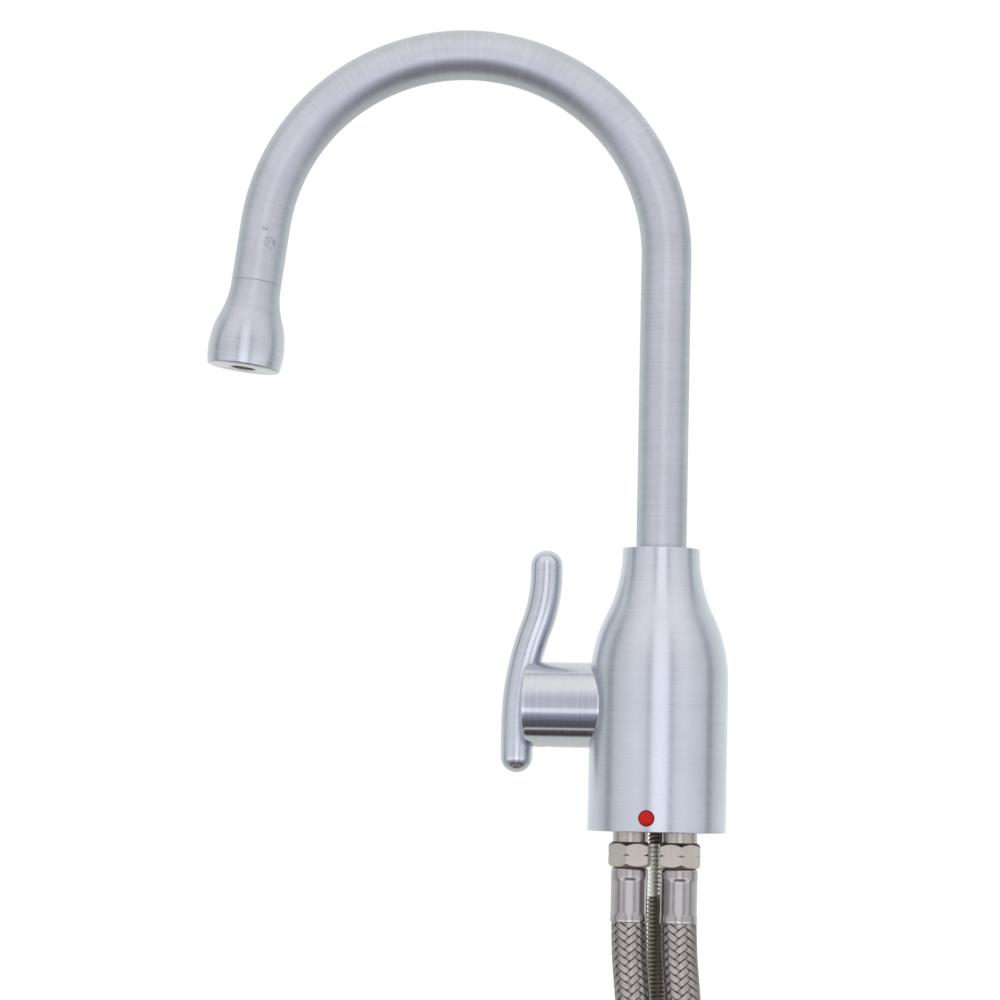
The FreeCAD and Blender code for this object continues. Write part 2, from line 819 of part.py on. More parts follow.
def make_valve_spindle():
    body = new_body("valve_spindle")
    head = moving_disc_top + s.disc_gap
    seal_floor = s.spindle_radius - s.spindle_seal_depth
    seal_half = s.spindle_seal_width / 2
    clip_floor = s.spindle_radius - s.clip_depth
    clip_low = s.housing_nose + s.running_gap
    clip_high = clip_low + s.clip_thickness + s.running_gap
    flat_half = s.grub_flat_width / 2
    flat_floor = s.spindle_radius - s.grub_flat
    corners = [
        (0, head),
        (s.disc_radius - s.disc_gap, head),
        (s.disc_radius - s.disc_gap, spindle_head_top),
        (s.spindle_radius, spindle_head_top),
        (s.spindle_radius, s.spindle_seal_out - seal_half),
        (seal_floor, s.spindle_seal_out - seal_half),
        (seal_floor, s.spindle_seal_out + seal_half),
        (s.spindle_radius, s.spindle_seal_out + seal_half),
        (s.spindle_radius, clip_low),
        (clip_floor, clip_low),
        (clip_floor, clip_high),
        (s.spindle_radius, clip_high),
        (s.spindle_radius, s.grub_out - flat_half),
        (flat_floor, s.grub_out - flat_half),
        (flat_floor, s.grub_out + flat_half),
        (s.spindle_radius, s.grub_out + flat_half),
        (s.spindle_radius, s.spindle_end),
        (0, s.spindle_end),
    ]
    turned(body, corners)
    tongue = new_sketch(body, "XY_Plane", head)
    draw(tongue, drive_outline(0))
    padded(body, tongue, s.drive_height, along_normal=False)
    place_on_valve(body)

    middle = s.spindle_radius - s.spindle_seal_depth / 2
    seal = ring_seal("spindle_seal", middle, s.spindle_seal_depth / 2 - s.seat_gap)
    place_on_valve(seal, s.spindle_seal_out)

    clip = new_body("spindle_clip")
    sketch = new_sketch(clip, "XY_Plane", clip_low + s.running_gap / 2)
    inner, outer = clip_floor + s.seat_gap, clip_floor + s.clip_width
    mouth = clip_floor / 2
    inner_reach = root(inner * inner - mouth * mouth)
    outer_reach = root(outer * outer - mouth * mouth)
    # an open ring, its mouth towards local -X, drawn as quarter arcs
    corners = [
        (-outer_reach, -mouth), (0, -outer), (outer, 0), (0, outer), (-outer_reach, mouth),
        (-inner_reach, mouth), (0, inner), (inner, 0), (0, -inner), (-inner_reach, -mouth),
    ]
    arcs = {i: (outer, 1) for i in range(4)}
    arcs.update({i: (inner, -1) for i in range(5, 9)})
    draw(sketch, corners, arcs)
    padded(clip, sketch, s.clip_thickness)
    place_on_valve(clip)


# Lever

def make_lever_handle():
    """Hub along -X and an S-shaped rod across its end; heights here are from the valve's axis."""
    body = new_body("lever_handle")
    cavity = s.hub_radius - s.hub_wall
    bore = s.spindle_radius + s.seat_gap
    corners = [
        (-s.hub_start, cavity),
        (-s.hub_cavity_end, cavity),
        (-s.hub_cavity_end, bore),
        (-s.hub_bore_end, bore),
        (-s.hub_bore_end, 0),
        (-s.hub_end, 0),
        (-s.hub_end, s.hub_radius - s.hub_edge),
        (s.hub_edge - s.hub_end, s.hub_radius),
        (-s.hub_start, s.hub_radius),
    ]
    turned(body, corners, {6: (s.hub_edge, -1)}, axis="H_Axis")

    low, top = s.rod_low_end - s.valve_height, s.rod_top_end - s.valve_height
    bend = s.rod_bend_start - s.valve_height
    bends = s.rod_low_bend + s.rod_top_bend
    lean_cosine = 1 - (s.rod_low_out - s.rod_top_out) / bends
    lean_sine = root(1 - lean_cosine * lean_cosine)
    middle_out = s.rod_low_out - s.rod_low_bend * (1 - lean_cosine)
    profile = new_sketch(body, "XY_Plane", low)
    draw_circle(profile, -s.rod_low_out, 0, s.rod_radius)
    spine = new_sketch(body, "XZ_Plane")
    route = [
        (-s.rod_low_out, low),
        (-s.rod_low_out, bend),
        (-middle_out, bend + s.rod_low_bend * lean_sine),
        (-s.rod_top_out, bend + bends * lean_sine),
        (-s.rod_top_out, top),
    ]
    draw(spine, route, {1: (s.rod_low_bend, -1), 2: (s.rod_top_bend, 1)}, closed=False)
    piped(body, profile, spine)
    for out, height in ((s.rod_low_out, low), (s.rod_top_out, top)):
        dome = body.newObject("PartDesign::AdditiveSphere", f"{body.Name}_dome")
        plane = next(f for f in body.Origin.OriginFeatures if f.Role == "XY_Plane")
        dome.AttachmentSupport = [(plane, "")]
        dome.MapMode = "FlatFace"
        dome.setExpression("AttachmentOffset.Base.x", (-out).text)
        dome.setExpression("AttachmentOffset.Base.z", height.text)
        dome.setExpression("Radius", s.rod_radius.text)
    hole = [(-s.grub_out, 0, s.grub_radius + s.seat_gap)]
    drilled(body, "XY_Plane", -s.hub_radius, hole, s.hub_radius)
    place(body, 0, 0, s.valve_height)


def make_lever_grub_screw():
    body = new_body("lever_grub_screw")
    tip = s.spindle_radius - s.grub_flat + s.seat_gap
    end = s.hub_radius - s.grub_drop
    corners = [
        (0, tip),
        (s.grub_radius, tip),
        (s.grub_radius, end),
        (s.key_radius, end),
        (s.key_radius, end - s.key_depth),
        (0, end - s.key_depth),
    ]
    turned(body, corners)
    place(body, -s.grub_out, 0, s.valve_height, X_AXIS, 180)


# Hose fittings

def hexagon_ends(body, flats, bottom, top, chamfer):
    """Bevels both ends of a hexagon, so that its corners end in curves."""
    reach = flats / math.sqrt(3) + chamfer
    inner = flats / 2 - chamfer / 2
    fall = (reach - inner) * sine(s.bevel_turn) / cosine(s.bevel_turn)
    turned_off(body, [(inner, top), (reach, top), (reach, top - fall)])
    turned_off(body, [(inner, bottom), (reach, bottom + fall), (reach, bottom)])


def make_hose_tail(name, side, hex_turn):
    body = new_body(f"{name}_hose_tail")
    top = s.recess_depth + s.tail_thread_length
    seal_low = s.recess_depth - s.tail_seal_width
    seal_floor = s.tail_collar_radius - s.tail_seal_depth
    nipple_end = ferrule_bottom + s.ferrule_round
    hex_top = -s.tail_collar_drop
    corners = [
        (s.tail_bore, nipple_end),
        (nipple_radius, nipple_end),
        (nipple_radius, hex_top),
        (s.tail_collar_radius, hex_top),
        (s.tail_collar_radius, seal_low),
        (seal_floor, seal_low),
        (seal_floor, s.recess_depth),
        (s.tail_thread_radius, s.recess_depth),
        (s.tail_thread_radius, top - s.stud_chamfer),
        (s.tail_thread_radius - s.stud_chamfer, top),
        (s.tail_bore, top),
    ]
    turned(body, corners)
    sketch = new_sketch(body, "XY_Plane", hex_bottom)
    draw(sketch, hexagon(s.hex_flats, hex_turn))
    draw_circle(sketch, 0, 0, s.tail_bore)
    padded(body, sketch, s.hex_height)
    hexagon_ends(body, s.hex_flats, hex_bottom, hex_top, s.hex_chamfer)
    # a fine ring groove that nicks only the corners, half way up
    middle = (hex_bottom + hex_top) / 2
    corner = s.hex_flats / math.sqrt(3)
    reach = corner + s.hex_groove
    half_mouth = 1.4 * s.hex_groove
    nick = [(corner - s.hex_groove, middle), (reach, middle - half_mouth), (reach, middle + half_mouth)]
    turned_off(body, nick)
    place(body, side * s.hose_spread, -s.hose_front, 0)

    section = s.tail_seal_width / 2 - s.seat_gap
    seal = ring_seal(f"{name}_tail_seal", seal_floor + s.seat_gap + section, section)
    place(seal, side * s.hose_spread, -s.hose_front, s.recess_depth - s.tail_seal_width / 2)


def make_ferrule(label):
    """A sleeve hanging from its closed end, with six crimped flats and a belled mouth."""
    body = new_body(label)
    bore = s.hose_radius + s.seat_gap
    bell = s.ferrule_radius + s.ferrule_bell
    corners = [
        (s.hose_bore, 0),
        (s.ferrule_radius - s.ferrule_round, 0),
        (s.ferrule_radius, -s.ferrule_round),
        (s.ferrule_radius, -s.crimp_end),
        (bell, s.ferrule_round - s.ferrule_length),
        (bell, -s.ferrule_length),
        (bore, -s.ferrule_length),
        (bore, -s.ferrule_cap),
        (s.hose_bore, -s.ferrule_cap),
    ]
    turned(body, corners, {1: (s.ferrule_round, -1)})
    sketch = new_sketch(body, "XY_Plane", -s.crimp_start)
    draw(sketch, hexagon(s.crimp_flats, s.crimp_turn))
    draw_circle(sketch, 0, 0, bell + s.ferrule_round)
    pocketed(body, sketch, s.crimp_end - s.crimp_start, along_normal=False)
    return body


# Hoses

def arc_through(start, tangent, end):
    """The arc that leaves start along a tangent and reaches end."""
    chord = end - start
    across = chord - tangent * chord.dot(tangent)
    if across.Length < 1e-7:
        return Part.LineSegment(start, end)
    across.normalize()
    radius = chord.dot(chord) / (2 * chord.dot(across))
    centre = start + across * radius
    middle = (start + end) / 2 - centre
    return Part.Arc(start, centre + middle.normalize() * radius, end)


def biarc(start, leaving, end, arriving):
    """Two arcs, alike in reach, that join two points and follow the tangent at each."""
    chord = end - start
    both = leaving + arriving
    spread = 2 * (1 - leaving.dot(arriving))
    along = chord.dot(both)
    reach = (math.sqrt(along ** 2 + spread * chord.dot(chord)) - along) / spread
    joint = (start + leaving * reach + end - arriving * reach) / 2
    first = arc_through(start, leaving, joint)
    second = arc_through(end, -arriving, joint)
    return first, second


def rounded_route(label, points):
    """Straight runs joined by arcs as large as the runs beside them allow."""
    edges, radii = [], []
    here = points[0]
    for before, corner, after in zip(points, points[1:], points[2:]):
        come, leave = corner - before, after - corner
        turn = come.getAngle(leave)
        cut = 0.45 * min(come.Length, leave.Length)
        radii.append(cut / math.tan(turn / 2))
        start = corner - V(come).normalize() * cut
        end = corner + V(leave).normalize() * cut
        edges += [Part.LineSegment(here, start), arc_through(start, V(come).normalize(), end)]
        here = end
    edges.append(Part.LineSegment(here, points[-1]))
    print(label, "bend radii in mm:", [round(radius, 1) for radius in radii])
    return Part.Wire([edge.toShape() for edge in edges])


def coil_point(start, side, turn):
    """A place on the put-away coil and the way it runs, after a share of its one full turn."""
    angle = 2 * math.pi * turn
    eased = turn * turn * (3 - 2 * turn)
    slope = 6 * turn * (1 - turn) / (2 * math.pi)
    radius, step = s.coil_radius.value, side * s.coil_step.value
    place_now = start + V(step * eased, radius * (math.cos(angle) - 1), -radius * math.sin(angle))
    way = V(step * slope, -radius * math.sin(angle), -radius * math.cos(angle))
    return place_now, way.normalize()


def coil_route(start, side, quarters=4):
    """One forward turn that moves outwards by a step, on biarcs, then a straight run down."""
    stops = [coil_point(start, side, quarter / quarters) for quarter in range(quarters + 1)]
    arcs = []
    for (here, leaving), (there, arriving) in zip(stops, stops[1:]):
        arcs += biarc(here, leaving, there, arriving)
    last = stops[-1][0]
    arcs.append(Part.LineSegment(last, last - Z_AXIS * s.coil_tail.value))
    return Part.Wire(Part.__sortEdges__([arc.toShape() for arc in arcs]))


def hose_solid(label, wire, start, way):
    """A tube with a bore along the wire; its volume is compared with its section times its length."""
    def swept(radius):
        ring = Part.Wire(Part.Circle(start, way, radius).toShape())
        return wire.makePipeShell([ring], True, False)

    solid = swept(s.hose_radius.value).cut(swept(s.hose_bore.value))
    section = math.pi * (s.hose_radius.value ** 2 - s.hose_bore.value ** 2)
    share = solid.Volume / (section * wire.Length)
    print(label, "length", round(wire.Length, 1), "mm, volume over section times length", round(share, 4))
    feature = doc.addObject("Part::Feature", label)
    feature.Label = label
    feature.Shape = solid
    feature.Placement = FreeCAD.Placement()
    pieces.append(feature)
    return wire


def least_gap(first, second):
    """The least gap between two hose surfaces, from points along their centre lines."""
    pairs = ((a - b).Length for a in first for b in second)
    return min(pairs) - 2 * s.hose_radius.value


def make_hose(name, side, route):
    """The free stretch and the coil of one hose; returns the centre of its far end."""
    start = V(side * s.hose_spread.value, -s.hose_front.value, (hex_bottom - s.ferrule_cap).value)
    points = [start] + [V(x, -s.hose_front.value, z) for x, z in route]
    free = rounded_route(f"{name}_hose", points)
    hose_solid(f"{name}_hose", free, start, -Z_AXIS)
    coil_start = points[-1]
    coil = coil_route(coil_start, side)
    hose_solid(f"{name}_hose_coil", coil, coil_start, -Z_AXIS)
    quarter = coil.Length // 4
    near = free.discretize(Distance=2.0) + [p for p in coil.discretize(Distance=2.0)][: int(quarter / 4)]
    far = coil.discretize(Distance=2.0)[int(quarter * 1.2):]
    print(f"{name}_hose_coil least gap to itself in mm:", round(least_gap(near, far), 2))
    return coil_start + V(side * s.coil_step.value, 0, -s.coil_tail.value)


def make_union(name, end):
    """Union tail, washer and loose nut below a hose's end; heights are from the sleeve's closed end."""
    sleeve_end = end.z - s.ferrule_cap.value
    flange_high = -(s.union_collar + s.union_neck)
    flange_low = flange_high - s.union_flange
    tail = new_body(f"{name}_union_tail")
    corners = [
        (s.tail_bore, flange_low),
        (s.union_flange_radius, flange_low),
        (s.union_flange_radius, flange_high),
        (s.union_neck_radius, flange_high),
        (s.union_neck_radius, -s.union_collar),
        (s.tail_collar_radius, -s.union_collar),
        (s.tail_collar_radius, 0),
        (nipple_radius, 0),
        (nipple_radius, s.ferrule_length - s.ferrule_round),
        (s.tail_bore, s.ferrule_length - s.ferrule_round),
    ]
    turned(tail, corners)

    washer = new_body(f"{name}_union_washer")
    washer_low = flange_low - s.union_washer
    outer = s.union_flange_radius
    ring = [(s.hose_bore, washer_low), (outer, washer_low), (outer, flange_low), (s.hose_bore, flange_low)]
    turned(washer, ring)

    # the nut: threaded mouth, relief round the flange and washer, and a back wall on the flange
    nut = new_body(f"{name}_union_nut")
    relief = s.union_flange + s.union_washer + s.nut_relief_gap
    bottom = flange_high - relief - s.nut_thread_length
    layers = (
        (bottom, s.nut_thread_length, s.nut_thread_radius),
        (flange_high - relief, relief, s.nut_relief_radius),
        (flange_high, s.nut_wall, s.union_neck_radius + s.union_gap),
    )
    for low, height, bore in layers:
        sketch = new_sketch(nut, "XY_Plane", low)
        draw(sketch, hexagon(s.nut_flats, sized(0)))
        draw_circle(sketch, 0, 0, bore)
        padded(nut, sketch, height)
    hexagon_ends(nut, s.nut_flats, bottom, flange_high + s.nut_wall, s.nut_chamfer)

    for piece in (tail, washer, nut):
        piece.Placement = FreeCAD.Placement(V(end.x, end.y, sleeve_end), FreeCAD.Rotation())


def make_hose_tie(coil_starts):
    """A strap round the four hose runs that hang side by side where the coils start and end."""
    body = new_body("hose_tie")
    left = coil_starts[0].x - s.coil_step.value
    right = coil_starts[1].x + s.coil_step.value
    half = (right - left) / 2
    sketch = new_sketch(body, "XY_Plane")
    for radius in (s.hose_radius + s.strap_gap, s.hose_radius + s.strap_gap + s.strap_wall):
        end = half + radius
        corners = [(-half, -radius), (half, -radius), (end, 0), (half, radius), (-half, radius), (-end, 0)]
        quarter_arcs = {i: (radius, 1) for i in (1, 2, 4, 5)}
        draw(sketch, corners, quarter_arcs)
    padded(body, sketch, s.strap_width)
    place(body, (left + right) / 2, coil_starts[0].y, coil_starts[0].z - s.strap_width / 2)


def make_hoses():
    coil_starts = []
    for (name, side, route), hex_turn in zip(HOSES, (s.left_hex_turn, s.right_hex_turn)):
        make_hose_tail(name, side, hex_turn)
        sleeve = make_ferrule(f"{name}_ferrule")
        place(sleeve, side * s.hose_spread, -s.hose_front, hex_bottom)
        end = make_hose(name, side, route)
        end_sleeve = make_ferrule(f"{name}_end_ferrule")
        place(end_sleeve, end.x, end.y, end.z - s.ferrule_cap, X_AXIS, 180)
        make_union(name, end)
        coil_starts.append(V(route[-1][0], -s.hose_front.value, route[-1][1]))
    make_hose_tie(coil_starts)


def check_and_write():
    doc.recompute()
    for item in doc.Objects:
        if "Invalid" in item.State or "Error" in item.State:
            raise RuntimeError(f"{item.Label} is {item.State}")
    for cut in cuts:
        if cut.BaseFeature.Shape.Volume - cut.Shape.Volume < 1e-3:
            raise RuntimeError(f"{cut.Label} cuts nothing")
    for piece in pieces:
        if piece.Shape.isNull() or not piece.Shape.isValid():
            raise RuntimeError(f"{piece.Label} has no valid shape")
    os.makedirs("parts", exist_ok=True)
    for piece in pieces:
        piece.Shape.exportStep(f"parts/{piece.Label}.step")
    print(len(pieces), "pieces written")


make_tap_body()
make_base_seal()
make_hot_indicator()
make_mounting_stud()
make_spout_tube()
make_spout_foot()
make_spout_bearing()
make_spout_retaining_screw()
make_spout_nozzle()
make_flow_straightener()
make_cartridge()
make_discs()
make_valve_spindle()
make_lever_handle()
make_lever_grub_screw()
make_hoses()
check_and_write()
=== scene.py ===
"""An instant hot water tap in brushed nickel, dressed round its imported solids."""

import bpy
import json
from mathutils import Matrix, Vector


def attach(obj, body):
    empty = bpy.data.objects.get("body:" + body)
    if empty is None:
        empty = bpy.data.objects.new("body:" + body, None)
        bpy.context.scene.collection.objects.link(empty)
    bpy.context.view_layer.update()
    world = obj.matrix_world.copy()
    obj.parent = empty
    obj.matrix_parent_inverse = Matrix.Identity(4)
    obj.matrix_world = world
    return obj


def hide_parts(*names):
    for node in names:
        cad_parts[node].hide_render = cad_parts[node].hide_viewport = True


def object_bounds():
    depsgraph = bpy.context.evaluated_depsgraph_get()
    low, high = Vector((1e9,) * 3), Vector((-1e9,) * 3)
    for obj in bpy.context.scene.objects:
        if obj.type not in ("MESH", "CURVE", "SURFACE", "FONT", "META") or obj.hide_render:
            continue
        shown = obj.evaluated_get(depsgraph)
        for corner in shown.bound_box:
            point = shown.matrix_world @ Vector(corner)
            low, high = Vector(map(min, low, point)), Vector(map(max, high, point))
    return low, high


bl_info = {
    "name": "Instant Hot Water Tap",
    "version": (1, 0, 0),
    "blender": (4, 5, 0),
    "location": "View3D > Sidebar > Tap",
    "description": "Brushed swan-neck tap with a side lever, threaded stud and woven hoses",
    "category": "Add Mesh",
}

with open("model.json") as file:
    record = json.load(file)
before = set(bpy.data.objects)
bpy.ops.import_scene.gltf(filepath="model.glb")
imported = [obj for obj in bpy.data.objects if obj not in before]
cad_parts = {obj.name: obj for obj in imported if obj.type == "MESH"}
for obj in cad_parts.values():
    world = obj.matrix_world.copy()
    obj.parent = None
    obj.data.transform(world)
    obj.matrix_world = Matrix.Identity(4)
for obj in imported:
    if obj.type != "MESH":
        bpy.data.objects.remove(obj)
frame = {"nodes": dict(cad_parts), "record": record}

import json
import math

import bpy
from bpy.props import FloatProperty, FloatVectorProperty, IntProperty, PointerProperty
from mathutils import Matrix, Vector

CAD_BOX = [list(corner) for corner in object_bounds()]
MM = 0.001
QUARTER = math.pi / 2
RIGHT = Vector((1, 0, 0))
BACK = Vector((0, 1, 0))
UP = Vector((0, 0, 1))
SIDES = (("left", -1), ("right", 1))
WHITE = (1.0, 1.0, 1.0)

# Thickness of a sleeve's closed end, which the hose's own end meets
SLEEVE_CAP = 1.4 * MM
# Points in one turn of a screw thread
THREAD_ROUND = 40

# Where each hose goes below its sleeve, across and up or down, in millimetres
HOSE_ROUTES = {
    "left": ((-7.9, -34.0), (-6.3, -50.0), (-4.8, -66.0), (-3.6, -98.0), (-3.6, -136.0)),
    "right": ((7.9, -34.0), (9.5, -50.0), (11.0, -66.0), (12.2, -98.0), (12.2, -136.0)),
}

# Small scuffs on the front of the spout, each with its reach
SPOUT_SCUFFS = (
    (Vector((-124.9, -33.4, 189.4)) * MM, 1.3 * MM),
    (Vector((-123.2, -32.4, 184.8)) * MM, 2.8 * MM),
)


# Sizes and colours that a user would change

def length(name, description, millimetres):
    return FloatProperty(
        name=name, description=description, default=millimetres * MM, precision=5, unit="LENGTH"
    )


def angle(name, description, degrees):
    return FloatProperty(
        name=name, description=description, default=math.radians(degrees), subtype="ANGLE"
    )


def colour(name, description, red, green, blue):
    return FloatVectorProperty(
        name=name, description=description, default=(red, green, blue), subtype="COLOR", min=0.0, max=1.0
    )


class BodySizes(bpy.types.PropertyGroup):
    base_radius: length("Base radius", "Radius of the straight base", 21.9)
    neck_radius: length("Neck radius", "Radius of the neck under the spout", 12.3)
    height: length("Height", "Height of the body above the worktop", 89.8)
    shoulder_start: length("Shoulder start", "Height where the base starts to draw in", 48.0)
    neck_land: length("Neck land", "Straight height at the top of the neck", 0.9)
    edge: length("Edge", "Rounding of the body's rims", 0.35)
    recess_radius: length("Recess radius", "Radius of the hollow under the base", 16.8)
    recess_depth: length("Recess depth", "Depth of the hollow under the base", 12.0)
    groove_radius: length("Seal groove", "Middle radius of the base seal's groove", 19.4)
    groove_width: length("Seal groove width", "Width of the base seal's groove", 2.4)
    groove_depth: length("Seal groove depth", "Depth of the base seal's groove", 1.9)
    bearing_radius: length("Bearing radius", "Radius of the bearing's seat in the neck", 10.2)
    bearing_floor: length("Bearing floor", "Height of the bearing's seat", 75.4)
    socket_radius: length("Socket radius", "Radius of the spout's socket", 8.06)
    socket_floor: length("Socket floor", "Height of the floor of the spout's socket", 57.4)
    valve_height: length("Valve height", "Height of the lever's axis", 39.6)
    pocket_radius: length("Pocket radius", "Radius of the pocket that the lever's hub turns in", 13.9)
    pocket_floor: length("Pocket floor", "Distance of the pocket's floor from the axis", 16.3)
    valve_bore: length("Valve bore", "Radius of the bore that holds the valve", 9.02)
    valve_floor: length("Valve floor", "Distance of the valve bore's floor from the axis", 1.0)
    screw_height: length("Screw height", "Height of the spout's retaining screw", 70.0)
    screw_hole: length("Screw hole", "Radius of the retaining screw's hole", 2.02)


class IndicatorSizes(bpy.types.PropertyGroup):
    radius: length("Radius", "Radius of the red button", 2.5)
    height: length("Height", "Height of the button's centre above the worktop", 4.4)
    seat: length("Seat", "Depth of the button's seat in the body", 0.8)
    rim: length("Rim", "Straight height of the button's edge", 0.5)
    crown: length("Crown", "Height of the button's dome", 0.7)


class SpoutSizes(bpy.types.PropertyGroup):
    radius: length("Tube radius", "Outer radius of the swan neck", 8.0)
    wall: length("Wall", "Wall of the tube", 1.5)
    foot: length("Foot", "Height of the tube's lower end, inside the body", 73.4)
    bend_height: length("Bend height", "Height where the bend starts", 184.0)
    bend_radius: length("Bend radius", "Radius of the bend", 65.0)
    bend_turn: angle("Bend turn", "How far the bend turns over", 172.9)
    outlet_run: length("Outlet run", "Straight run after the bend", 19.4)
    park_turn: angle("Park turn", "How far the spout is swung from the lever's side", 11.4)
    nozzle_length: length("Nozzle length", "Length of the nozzle", 27.9)
    nozzle_radius: length("Nozzle radius", "Widest radius of the nozzle", 12.2)
    bell_start: length("Bell start", "Straight length before the nozzle widens", 0.9)
    bell_widest: length("Bell widest", "Distance from the seam to the widest place", 22.0)
    lip: length("Lip", "Rounding of the nozzle's mouth", 0.7)
    seam: length("Seam", "Rounding on each side of the nozzle's seam", 0.12)
    outlet_radius: length("Outlet radius", "Radius of the outlet", 4.0)
    chamber_radius: length("Chamber radius", "Radius of the chamber in the nozzle", 4.8)
    floor: length("Nozzle floor", "Thickness of the nozzle's end", 4.5)
    spigot_length: length("Spigot length", "Length of the nozzle's spigot in the tube", 7.0)


class LeverSizes(bpy.types.PropertyGroup):
    hub_radius: length("Hub radius", "Radius of the lever's hub", 13.6)
    hub_start: length("Hub start", "Distance of the hub's inner end from the body's axis", 16.8)
    hub_end: length("Hub end", "Distance of the hub's outer end from the body's axis", 42.2)
    hub_wall: length("Hub wall", "Wall of the hub round the valve's nose", 1.9)
    cavity_end: length("Cavity end", "Where the hollow of the hub ends", 29.0)
    bore: length("Bore", "Radius of the spindle's bore", 4.02)
    bore_end: length("Bore end", "Where the spindle's bore ends", 40.2)
    rod_radius: length("Rod radius", "Radius of the lever's rod", 5.1)
    low_out: length("Low end out", "Distance of the rod's lower end from the body's axis", 45.7)
    low_end: length("Low end", "Height of the middle of the rod's lower dome", 22.9)
    bend_start: length("Bend start", "Height where the rod starts to lean in", 33.2)
    top_out: length("Top out", "Distance of the rod's top from the body's axis", 37.1)
    top_end: length("Top end", "Height of the middle of the rod's upper dome", 84.0)
    low_bend: length("Low bend", "Radius of the rod's lower bend", 90.0)
    top_bend: length("Top bend", "Radius of the rod's upper bend", 47.0)
    grub_out: length("Grub screw out", "Distance of the grub screw from the body's axis", 36.0)
    grub_hole: length("Grub hole", "Radius of the grub screw's hole", 2.52)


class HoseSizes(bpy.types.PropertyGroup):
    spread: length("Spread", "Distance of each hose from the middle", 7.9)
    front: length("Front", "How far the hoses stand in front of the axis", 3.0)
    radius: length("Radius", "Outer radius of the braid", 5.4)
    liner_radius: length("Liner radius", "Radius of the rubber tube under the braid", 4.6)
    carriers: IntProperty(name="Strands", description="Strands wound each way", default=10, min=2)
    wires: IntProperty(name="Wires", description="Wires side by side in a strand", default=5, min=1)
    lead: length("Lead", "Length of hose in which a strand goes round once", 25.5)
    strand_width: length("Strand width", "Width of a flat strand of wires", 1.8)
    weave: angle("Weave", "How far each braid is turned round its hose", 46.0)
    strand_rise: length("Strand rise", "How far a strand lifts over the others", 0.26)
    wire_rise: length("Wire rise", "How far each wire stands out of its strand", 0.13)
    hex_flats: length("Hexagon", "Width across the flats of each hose tail", 12.5)
    hex_height: length("Hexagon height", "Height of the hexagon", 7.7)
    hex_chamfer: length("Hexagon chamfer", "Bevel of the hexagon's corners", 0.75)
    hex_nick: length("Corner nick", "Depth of the nick in the hexagon's corners", 0.6)
    hex_bevel: angle("Bevel", "Slope of the bevel on the corners of hexagons", 40.0)
    left_turn: angle("Left turn", "How far the left hexagon is turned", 29.7)
    right_turn: angle("Right turn", "How far the right hexagon is turned", 43.1)
    collar_radius: length("Collar radius", "Radius of the collar above the hexagon", 5.5)
    collar_drop: length("Collar drop", "How far the collar shows below the body", 3.5)
    tail_bore: length("Tail bore", "Waterway through a hose tail", 2.3)
    nipple_radius: length("Nipple radius", "Radius of the tail inside the hose", 3.45)
    thread_radius: length("Tail thread", "Radius of the thread that goes up into the body", 5.0)
    thread_length: length("Tail thread length", "Length of that thread", 9.5)
    sleeve_length: length("Sleeve length", "Length of a crimped sleeve", 17.3)
    sleeve_radius: length("Sleeve radius", "Radius of a crimped sleeve", 5.85)
    crimp_flats: length("Crimp flats", "Width across the six crimped flats", 10.88)
    crimp_turn: angle("Crimp turn", "Where the first crimped flat faces, from the right", 41.5)
    crimp_start: length("Crimp start", "Where the crimp starts below the closed end", 2.8)
    crimp_end: length("Crimp end", "Where the crimp ends below the closed end", 15.4)
    sleeve_bell: length("Sleeve bell", "How far the sleeve's mouth flares", 0.08)
    sleeve_round: length("Sleeve round", "Rounding of the sleeve's closed end", 1.2)
    coil_radius: length("Coil radius", "Radius of the put-away coil", 55.0)
    coil_step: length("Coil step", "Sideways step of the put-away coil", 13.0)
    coil_tail: length("Coil tail", "Straight run after the coil", 34.0)
    nut_flats: length("Nut", "Width across the flats of a union nut", 19.0)
    nut_chamfer: length("Nut chamfer", "Bevel of the union nut's corners", 1.2)


class StudSizes(bpy.types.PropertyGroup):
    radius: length("Radius", "Radius of the stud over its thread", 4.0)
    root: length("Root", "Radius of the stud at the bottom of its thread", 3.4)
    pitch: length("Pitch", "Pitch of the thread", 1.36)
    back: length("Back", "How far the stud stands behind the axis", 9.5)
    reach: length("Reach", "How far the stud reaches below the worktop's top", 75.0)


class Finishes(bpy.types.PropertyGroup):
    nickel: colour("Nickel", "Brushed nickel of the body", 0.624, 0.645, 0.705)
    drawn: colour("Drawn nickel", "Drawn nickel of the spout", 0.592, 0.608, 0.66)
    satin: colour("Satin nickel", "Satin nickel of the lever", 0.60, 0.62, 0.68)
    plate: colour("Plate", "Matt plate on the hose fittings", 0.616, 0.563, 0.51)
    sleeve: colour("Sleeve", "Polished crimped sleeves", 0.445, 0.412, 0.412)
    wire: colour("Wire", "Woven stainless wire", 0.445, 0.405, 0.385)
    stud: colour("Stud", "Bright plate on the screws and a band of the stud", 0.9, 0.88, 0.84)
    # painted shade on the stud above and below its bright band
    stud_painted_shade: colour("Dark stud", "Browned steel on the rest of the stud", 0.36, 0.325, 0.285)
    brass: colour("Brass", "Bare brass inside the tap", 0.72, 0.53, 0.24)
    rubber: colour("Rubber", "Black rubber", 0.02, 0.02, 0.021)
    ceramic: colour("Ceramic", "Valve discs", 0.86, 0.85, 0.81)
    red: colour("Red", "Hot indicator", 0.57, 0.009, 0.007)
    white: colour("White", "White plastic bearing", 0.83, 0.83, 0.80)
    strap: colour("Strap", "Black plastic strap", 0.03, 0.03, 0.033)


